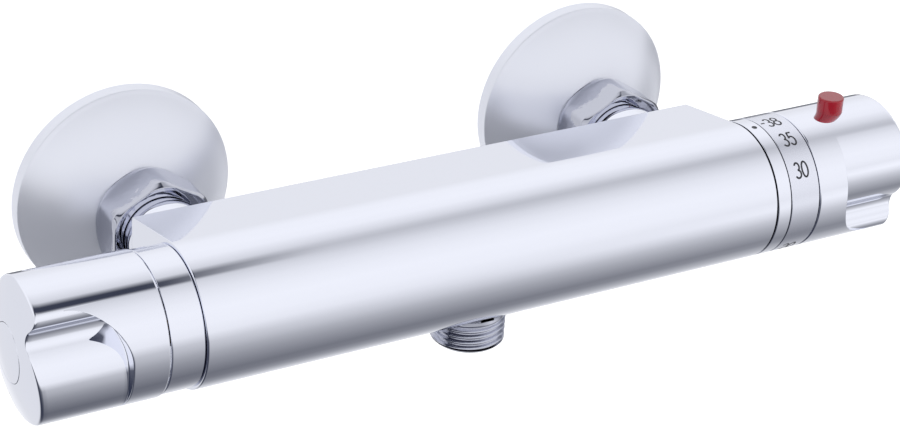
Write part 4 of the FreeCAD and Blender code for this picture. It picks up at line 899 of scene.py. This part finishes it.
def thread_run(start, end, radius, pitch):
    """Points along a thread, close enough together to draw its turns."""
    count = int((end - start) / pitch * 14)
    return [(x, radius) for x in np.linspace(start, end, count)[1:-1]]


def tail_outline():
    """The inlet tail: water way, flange, tube through the nut, round neck and buried thread."""
    front, neck, step, tube, flange, back = 17.1, 29.1, 29.5, 38.5, 44.0, 46.5
    way, seat, wide, narrow, middle, thread = 6.7, 8.05, 13.0, 10.9, 12.0, 9.95
    return rounded([
        (front, way, 0.1), (step, way, 0.1), (step, seat, 0.1), (back, seat, 0.2),
        (back, wide, 0.2), (flange, wide, 0.2), (flange, narrow, 0.1), (tube, narrow, 0.15),
        (tube, middle, 0.3), (neck, middle, 0.15), (neck, thread, 0.1), (front, thread, 0.2)])


def wall_connector(sizes):
    """The wall connector: a wide mouth in the nut, a groove, and the thread into the wall."""
    front, groove, collar, thread, end = 48.7, 57.6, 59.2, 64.0, WALL + 15.0
    way, mouth, waist, wide, pitch = 7.2, 13.2, 12.2, 13.6, mm(sizes.pitch)
    outline = rounded([
        (front, way, 0.2), (front, mouth, 0.3), (groove, mouth, 0.2), (groove, waist, 0.1),
        (collar, waist, 0.1), (collar, wide, 0.2), (thread, wide, 0.2), (thread, CREST, 0.2)]
        + thread_run(thread + 0.3, end - 1.3, CREST, pitch)
        + [(end - 1.2, CREST, 0.1), (end, CREST - 1.2, 0.2), (end, way, 0.2)])
    return turned(outline, 120, thread=(thread + 1.0, end - 0.6, mm(sizes.thread), pitch))


def outlet_nipple(sizes):
    """The outlet nipple: a foot in the bar's hole, a plain neck and the thread for the hose."""
    foot, step, start, end = 14.1, 15.7, 20.3, -span("outlet_nipple")[0][2]
    narrow, neck, pitch = 8.7, 10.3, mm(sizes.pitch)
    outline = rounded([
        (foot, WATERWAY, 0.1), (foot, narrow, 0.1), (step, narrow, 0.1), (step, neck, 0.1),
        (start - 1.9, neck)] + thread_run(start - 1.6, end - 1.0, CREST, pitch)
        + [(end - 0.9, CREST, 0.1), (end, CREST - 0.9, 0.25), (end, WATERWAY, 0.25)])
    return turned(outline, 160, thread=(start - 1.7, end - 0.3, mm(sizes.thread), pitch))


# ---------------------------------------------------------------- numerals

def bow(middle, half_width, half_height, first, last, count=22):
    """Points of an elliptic arc, its angles in degrees."""
    angle = np.radians(np.linspace(first, last, count))
    return np.column_stack([middle[0] + half_width * np.cos(angle),
                            middle[1] + half_height * np.sin(angle)])


def numeral_strokes(digit):
    """The centre lines of a numeral in a cell one wide and one high, as arcs and straight lines."""
    head = [[0.9, 1.0], [0.2, 1.0], [0.1, 0.53]]
    four = [[1.0, 0.27], [0.0, 0.27], [0.7, 1.0], [0.74, 1.0], [0.74, 0.0]]
    return {
        "0": [bow((0.5, 0.5), 0.5, 0.5, 90, 450, 48)],
        "2": [np.vstack([bow((0.5, 0.71), 0.46, 0.29, 165, -38), [[0.06, 0.0], [0.98, 0.0]]])],
        "3": [np.vstack([bow((0.47, 0.75), 0.4, 0.25, 158, -90),
                         bow((0.47, 0.26), 0.49, 0.26, 90, -155)[1:]])],
        "4": [np.array(four)],
        "5": [np.vstack([head, bow((0.47, 0.33), 0.5, 0.33, 135, -152, 30)])],
        "8": [bow((0.5, 0.76), 0.41, 0.24, -90, 270, 40), bow((0.5, 0.26), 0.5, 0.26, 90, 450, 44)],
    }[digit]


def stroke_band(skin, path, width, radius, relief, closed):
    """Lays a printed band along a path of (distance, arc length) on the dial's cylinder.

    The band's four corners stand half its width to either side of the path, just under the
    cylinder and above it by the relief. Arc length over the radius is the angle up from the bar's
    front.
    """
    ahead = np.gradient(path, axis=0)
    if closed:
        ahead = np.roll(path, -1, axis=0) - np.roll(path, 1, axis=0)
    ahead = ahead / np.linalg.norm(ahead, axis=1, keepdims=True)
    across = np.column_stack([-ahead[:, 1], ahead[:, 0]]) * width / 2
    rows, facing, sunk = [], [], -0.03
    for side, lift in ((-1, sunk), (-1, relief), (1, relief), (1, sunk)):
        spot = path + across * side
        angle = spot[:, 1] / radius
        level = radius + lift
        rows.append(np.column_stack([spot[:, 0], -level * np.cos(angle), level * np.sin(angle)]))
        lean = 1.0 if lift > 0 else -1.0
        facing.append(np.column_stack([0 * angle, -lean * np.cos(angle), lean * np.sin(angle)]))
    numbers = skin.lay(np.array(rows), np.array(facing))
    skin.cover(numbers, around=closed, along=True)
    if not closed:
        skin.faces.append(np.array([numbers[:, 0], numbers[::-1, -1]]))


def dense(path, step=0.12):
    """A path with extra points on its long straight runs, so that it follows the cylinder."""
    way = np.concatenate([[0], np.cumsum(np.hypot(*np.diff(path, axis=0).T))])
    spots = np.unique(np.concatenate([way, np.arange(0, way[-1], step)]))
    return np.column_stack([np.interp(spots, way, path[:, 0]), np.interp(spots, way, path[:, 1])])


def number_on_dial(skin, text, degrees, middle, radius, sizes):
    """Draws a number round the dial with its middle at an angle and a distance along the bar."""
    width, height = mm(sizes.width), mm(sizes.height)
    spacing = 1.27
    step = width * spacing
    for place, digit in enumerate(text):
        left = middle + (place - (len(text) - 1) / 2) * step - width / 2
        for path in numeral_strokes(digit):
            closed = np.allclose(path[0], path[-1])
            spots = path[:-1] if closed else path
            scaled = np.column_stack([left + spots[:, 0] * width,
                                      math.radians(degrees) * radius
                                      + (spots[:, 1] - 0.5) * height])
            if not closed:
                scaled = dense(scaled)
            stroke_band(skin, scaled, mm(sizes.stroke), radius, mm(sizes.relief), closed)


# ---------------------------------------------------------------- operators

class VALVE_OT_bar(bpy.types.Operator):
    """Makes the bar casting with its spigots, bores and holes"""
    bl_idname = "valve.bar"
    bl_label = "Bar casting"

    def execute(self, context):
        dress(bar_casting(chosen("valve_bar")), "bar_casting", "valve_body", "valve",
              "polished_chrome", ALONG)
        return {"FINISHED"}


class VALVE_OT_rings(bpy.types.Operator):
    """Makes the plain ring, the index ring with its dot, and the numbered dial ring"""
    bl_idname = "valve.rings"
    bl_label = "Rings and numerals"

    def execute(self, context):
        # after the slot: the bore, how far both ends shift along the bar, and the edges' rounding
        edge = mm(chosen("valve_bar").edge)
        chrome = "polished_chrome"
        rings = (("plain_ring", "flow_collar", TURNED, "valve", chrome, 16.1, -0.18, 0.1, edge),
                 ("index_ring", "index_collar", ALONG, "valve", chrome, 16.1, 0.16, 0.0, edge / 2),
                 ("numbered_dial", "dial_ring", ALONG, "temperature_control", "satin_chrome", 17.6,
                  0.0, 0.1, edge / 2))
        for name, node, stand, body, slot, bore, near, far, bend in rings:
            low, high = span(node)
            start, end = np.sort((np.array([low[0], high[0]]) - AXIS[0]) * stand[0, 0])
            outline = rounded(sleeve(start + near, end - far, bore, high[2] - SKIN_DROP, bend))
            dress(turned(outline, 240), name, node, body, slot, stand)
        self.print_numerals()
        self.print_index()
        return {"FINISHED"}

    def print_numerals(self):
        """The numbers round the dial, with a dash before the one that the stop holds."""
        sizes = chosen("valve_dial")
        low, high = span("dial_ring")
        shift, dash_start, dash_end = 0.3, 3.9, 2.6
        middle, radius = (low[0] + high[0]) / 2 - AXIS[0] - shift, high[2] - SKIN_DROP
        skin = Skin()
        marks = (("20", -44.0), ("30", 36.7), ("35", 65.6), ("38", 90.0), ("40", 127.0),
                 ("45", 152.0), ("50", 178.0))
        for text, degrees in marks:
            number_on_dial(skin, text, degrees, middle, radius, sizes)
        top = math.radians(90.0) * high[2]
        dash = np.array([[middle - dash_start, top], [middle - dash_end, top]])
        stroke_band(skin, dense(dash), mm(sizes.stroke), radius, mm(sizes.relief), False)
        piece = skin.make("dial_numerals", finish("dial_print"), ALONG, AXIS, exact=False)
        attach(piece, "temperature_control")

    def print_index(self):
        """The index dot beside the dial, which the numbers turn past."""
        low, high = span("index_collar")
        middle = (low[0] + high[0]) / 2 - AXIS[0]
        skin = Skin()
        shift, reach, stroke, degrees = 0.2, 0.42, 0.8, 87.0
        dot = bow((middle + shift, math.radians(degrees) * high[2]), reach, reach, 0, 360, 33)[:-1]
        relief = mm(chosen("valve_dial").relief)
        stroke_band(skin, dot, stroke, high[2] - SKIN_DROP, relief, True)
        piece = skin.make("index_dot", finish("dial_print"), ALONG, AXIS, exact=False)
        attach(piece, "valve")


class VALVE_OT_handles(bpy.types.Operator):
    """Makes both scalloped handles and their round end caps"""
    bl_idname = "valve.handles"
    bl_label = "Handles and caps"

    def execute(self, context):
        flow_start = AXIS[0] - span("flow_collar")[0][0] + JOINT_GAP
        dial_end = span("dial_ring")[1][0] - AXIS[0]
        flow = ("flow_control", TURNED, flow_start)
        temperature = ("temperature_control", ALONG, dial_end + JOINT_GAP)
        make_handle("flow_control_handle", "flow_handle", *flow, False)
        make_handle("temperature_control_handle", "temperature_handle", *temperature, True)
        make_cap("flow_handle_cap", "flow_end_cap", *flow)
        make_cap("temperature_handle_cap", "temperature_end_cap", *temperature)
        return {"FINISHED"}


class VALVE_OT_button(bpy.types.Operator):
    """Makes the red safety button on the temperature handle"""
    bl_idname = "valve.button"
    bl_label = "Safety button"

    def execute(self, context):
        low, high = span("safety_button")
        radius, pin = (high[0] - low[0]) / 2, 2.9
        floor, foot, top = 19.0, low[2], high[2]
        outline = solid([(floor, 0), (floor, pin, 0.2), (foot, pin, 0.1), (foot, radius, 0.1),
                         (top, radius, 0.45), (top, 0)], 8)
        origin = np.array([(low[0] + high[0]) / 2, AXIS[1], 0])
        dress(turned(outline, 96), "red_safety_button", "safety_button", "button", "red_plastic",
              UP, origin)
        return {"FINISHED"}


class VALVE_OT_inlets(bpy.types.Operator):
    """Makes the union nuts, inlet tails, wall plates and wall connectors of both inlets"""
    bl_idname = "valve.inlets"
    bl_label = "Inlets"

    def execute(self, context):
        sizes, chrome = chosen("valve_inlets"), "polished_chrome"
        for prefix, x in (("hot", HOT_X), ("cold", COLD_X)):
            made = ((union_nut(sizes), "hexagon_nut", "union_nut", chrome, "nut_chrome"),
                    (turned(tail_outline(), 144), "inlet_neck", "inlet_tail", chrome, None),
                    (turned(plate_outline(sizes), 240), "wall_flange", "wall_plate", chrome,
                     "plate_chrome"),
                    (wall_connector(sizes), "wall_thread", "wall_connector", "plated_brass", None))
            for skin, name, node, slot, look in made:
                dress(skin, "%s_%s" % (prefix, name), "%s_%s" % (prefix, node), "valve", slot,
                      TO_WALL, np.array([x, AXIS[1], 0.0]), look)
        return {"FINISHED"}


class VALVE_OT_outlet(bpy.types.Operator):
    """Makes the threaded outlet nipple under the bar"""
    bl_idname = "valve.outlet"
    bl_label = "Outlet nipple"

    def execute(self, context):
        dress(outlet_nipple(chosen("valve_inlets")), "threaded_outlet", "outlet_nipple", "valve",
              "polished_chrome", DOWN, look="plated_brass")
        return {"FINISHED"}


class VALVE_OT_inner_pieces(bpy.types.Operator):
    """Gives every carried-over inner piece the finish of its material slot"""
    bl_idname = "valve.inner_pieces"
    bl_label = "Inner pieces"

    def execute(self, context):
        slots = {part["node"]: part["material_slot"] for part in frame["record"]["subparts"]}
        for name, node in frame["nodes"].items():
            node.data.materials.clear()
            node.data.materials.append(finish(slots[name]))
        return {"FINISHED"}


class VALVE_OT_stage(bpy.types.Operator):
    """Sets the camera, the pale floor and the soft studio light"""
    bl_idname = "valve.stage"
    bl_label = "Stage"

    def execute(self, context):
        stage = chosen("valve_stage")
        scene = context.scene
        scene.view_settings.view_transform = "Standard"
        place_camera(scene, stage)
        light_studio(scene)
        lay_floor(stage)
        return {"FINISHED"}


def place_camera(scene, stage):
    """Stands the camera at its distance from the target, looking along its three angles."""
    azimuth, elevation = stage.azimuth, stage.elevation
    forward = Vector((-math.sin(azimuth) * math.cos(elevation),
                      math.cos(azimuth) * math.cos(elevation), -math.sin(elevation)))
    right = Vector((math.cos(azimuth), math.sin(azimuth), 0))
    up = right.cross(forward)
    cosine, sine = math.cos(stage.roll), math.sin(stage.roll)
    right, up = right * cosine + up * sine, up * cosine - right * sine
    data = bpy.data.cameras.new("photo_camera")
    data.sensor_width = 36.0
    data.lens = stage.lens
    data.clip_start = 0.01
    data.clip_end = 100.0
    camera = bpy.data.objects.new("photo_camera", data)
    scene.collection.objects.link(camera)
    target = Vector(AXIS * MM) + Vector((stage.target_x, 0, stage.target_z))
    turn = Matrix((right, up, -forward)).transposed().to_4x4()
    camera.matrix_world = Matrix.Translation(target - forward * stage.distance) @ turn
    scene.camera = camera


# The studio's light, as (angle, level): the angle from the front horizon over the top to the back.
# A front panel, a roof panel that starts behind the valve, and a floor that darkens underneath.
STUDIO = ((-180, 0.86), (-166, 0.87), (-150, 0.95), (-140, 0.93), (-128, 0.76), (-116, 0.56),
          (-104, 0.39), (-90, 0.25), (-78, 0.22), (-64, 0.3), (-50, 0.4), (-38, 0.52),
          (-27, 0.68), (-16, 0.82),
          (-6, 0.9), (10, 0.97), (30, 0.99), (46, 0.95), (60, 0.88), (72, 0.77), (80, 0.66),
          (88, 0.58), (94, 0.65), (100, 0.77), (107, 0.86), (116, 0.96), (130, 0.99), (150, 0.97),
          (172, 0.86), (180, 0.86))
# Darker patches, as (angles, reach across, level): over the front panel, low behind, and far left.
PATCHES = ((((78, 0), (82, 1), (89, 1), (97, 0)), ((0.0, 1), (0.675, 1), (0.705, 0)), 0.045),
           (((-176, 0), (-170, 1), (-142, 1), (-136, 0)), ((0.6, 0), (0.63, 1)), 0.18),
           (((-180, 1), (-132, 1), (-118, 0), (150, 0), (168, 1)), ((0.4, 1), (0.53, 0)), 0.77))
TINGE = (0.0, 0.006, 0.03)
# The floor in front darkens to the left: where that holds, and by how much across.
FLOOR_ANGLES = ((-118, 0), (-100, 1), (-18, 1), (-4, 0))
FLOOR_ACROSS = ((0.3, 0.15), (0.44, 0.22), (0.56, 0.34), (0.63, 0.56), (0.69, 0.85), (0.735, 1.0),
                (0.81, 1.3))


def by_angle(stops, full=1.0):
    """A ramp's stops from (degrees, level): the ramp runs from half a turn down to half one up."""
    return [(0.5 + degrees / 360, level / full) for degrees, level in stops]


def light_studio(scene):
    """A studio of large soft lights: a front panel, a roof panel and dark patches beside them.

    The level follows the angle of a direction about the X axis; on the floor in front it is also
    multiplied by a share that rises from left to right.
    """
    strength = 1.05
    world = bpy.data.worlds.new("studio")
    scene.world = world
    tree, output = blank(world, "World")
    direction = add(tree, "ShaderNodeTexCoord").outputs["Generated"]
    axes = add(tree, "ShaderNodeSeparateXYZ", Vector=direction).outputs
    front = add(tree, "ShaderNodeMath", {"operation": "MULTIPLY"}, i0=axes["Y"], i1=-1.0)
    angle = add(tree, "ShaderNodeMath", {"operation": "ARCTAN2"}, i0=axes["Z"],
                i1=front.outputs[0]).outputs[0]
    share = add(tree, "ShaderNodeMapRange", i0=angle, i1=-math.pi, i2=math.pi).outputs[0]
    across = add(tree, "ShaderNodeMapRange", i0=axes["X"], i1=-1.0, i2=1.0).outputs[0]
    level = add(tree, "ShaderNodeValToRGB", stops=by_angle(STUDIO, strength), Fac=share)
    below = add(tree, "ShaderNodeValToRGB", stops=by_angle(FLOOR_ANGLES), Fac=share)
    slope = add(tree, "ShaderNodeValToRGB", stops=FLOOR_ACROSS, Fac=across)
    fall = add(tree, "ShaderNodeMix", Factor=below.outputs[0], i2=1.0, i3=slope.outputs[0])
    light = add(tree, "ShaderNodeVectorMath", {"operation": "SCALE"}, i0=level.outputs[0],
                i3=fall.outputs[0]).outputs[0]
    for angles, reach, dark in PATCHES:
        high = add(tree, "ShaderNodeValToRGB", stops=by_angle(angles), Fac=share)
        wide = add(tree, "ShaderNodeValToRGB", stops=reach, Fac=across)
        patch = add(tree, "ShaderNodeMath", {"operation": "MULTIPLY"}, i0=high.outputs[0],
                    i1=wide.outputs[0])
        light = add(tree, "ShaderNodeMix", {"data_type": "RGBA"}, Factor=patch.outputs[0],
                    i6=light, i7=(dark, dark, dark, 1)).outputs[2]
    light = add(tree, "ShaderNodeVectorMath", {"operation": "ADD"}, i0=light, i1=TINGE).outputs[0]
    rays = add(tree, "ShaderNodeLightPath").outputs["Is Camera Ray"]
    seen = add(tree, "ShaderNodeMix", {"data_type": "RGBA"}, Factor=rays, i6=light,
               i7=(1, 1, 1, 1)).outputs[2]
    background = add(tree, "ShaderNodeBackground", Color=seen, Strength=strength)
    tree.links.new(background.outputs[0], output.inputs["Surface"])


def floor_finish():
    """Matt white studio floor, which keeps the shadow and lets metal see the studio under it."""
    material = bpy.data.materials.new("matt_white_floor")
    tree, output = blank(material)
    matt = add(tree, "ShaderNodeBsdfDiffuse", Color=(0.9, 0.9, 0.9, 1))
    lift = add(tree, "ShaderNodeEmission", Color=(1, 1, 1, 1), Strength=0.5)
    plain = add(tree, "ShaderNodeAddShader", i0=matt.outputs[0], i1=lift.outputs[0])
    open_floor = add(tree, "ShaderNodeBsdfTransparent")
    rays = add(tree, "ShaderNodeLightPath").outputs["Is Glossy Ray"]
    both = add(tree, "ShaderNodeMixShader", i0=rays, i1=plain.outputs[0],
               i2=open_floor.outputs[0])
    tree.links.new(both.outputs[0], output.inputs["Surface"])
    return material


def lay_floor(stage):
    """The floor: one level sheet under the valve, this many metres to each side of it."""
    reach = 12.0
    corners = np.array([[-1, -1], [1, -1], [1, 1], [-1, 1]]) * reach
    points = np.column_stack([corners, np.full(4, stage.floor)])
    mesh = bpy.data.meshes.new("studio_floor")
    mesh.from_pydata(points.tolist(), [], [(0, 1, 2, 3)])
    mesh.materials.append(floor_finish())
    floor = bpy.data.objects.new("studio_floor", mesh)
    bpy.context.scene.collection.objects.link(floor)


# ---------------------------------------------------------------- panel and registration

OPERATORS = (VALVE_OT_bar, VALVE_OT_rings, VALVE_OT_handles, VALVE_OT_button, VALVE_OT_inlets,
             VALVE_OT_outlet, VALVE_OT_inner_pieces, VALVE_OT_stage)
GROUPS = {"valve_bar": BarSizes, "valve_handles": HandleSizes, "valve_dial": DialSizes,
          "valve_inlets": InletSizes, "valve_finishes": Finishes, "valve_stage": StageSettings}


class VALVE_PT_panel(bpy.types.Panel):
    """Lists the valve's pieces and its stage"""
    bl_label = "Shower valve"
    bl_idname = "VALVE_PT_panel"
    bl_space_type = "VIEW_3D"
    bl_region_type = "UI"
    bl_category = "Shower valve"

    def draw(self, context):
        for group in GROUPS:
            box = self.layout.box()
            for name in chosen(group).bl_rna.properties.keys():
                if name not in ("rna_type", "name"):
                    box.prop(chosen(group), name)
        for operator in OPERATORS:
            self.layout.operator(operator.bl_idname)


def register():
    for group in GROUPS.values():
        bpy.utils.register_class(group)
    for name, group in GROUPS.items():
        setattr(bpy.types.Scene, name, PointerProperty(type=group))
    for item in OPERATORS + (VALVE_PT_panel,):
        bpy.utils.register_class(item)


def unregister():
    for item in (VALVE_PT_panel,) + OPERATORS[::-1]:
        bpy.utils.unregister_class(item)
    for name, group in GROUPS.items():
        delattr(bpy.types.Scene, name)
        bpy.utils.unregister_class(group)


def main():
    register()
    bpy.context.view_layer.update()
    bpy.ops.valve.bar()
    bpy.ops.valve.rings()
    bpy.ops.valve.handles()
    bpy.ops.valve.button()
    bpy.ops.valve.inlets()
    bpy.ops.valve.outlet()
    bpy.ops.valve.inner_pieces()
    bpy.ops.valve.stage()


if __name__ == "__main__":
    main()
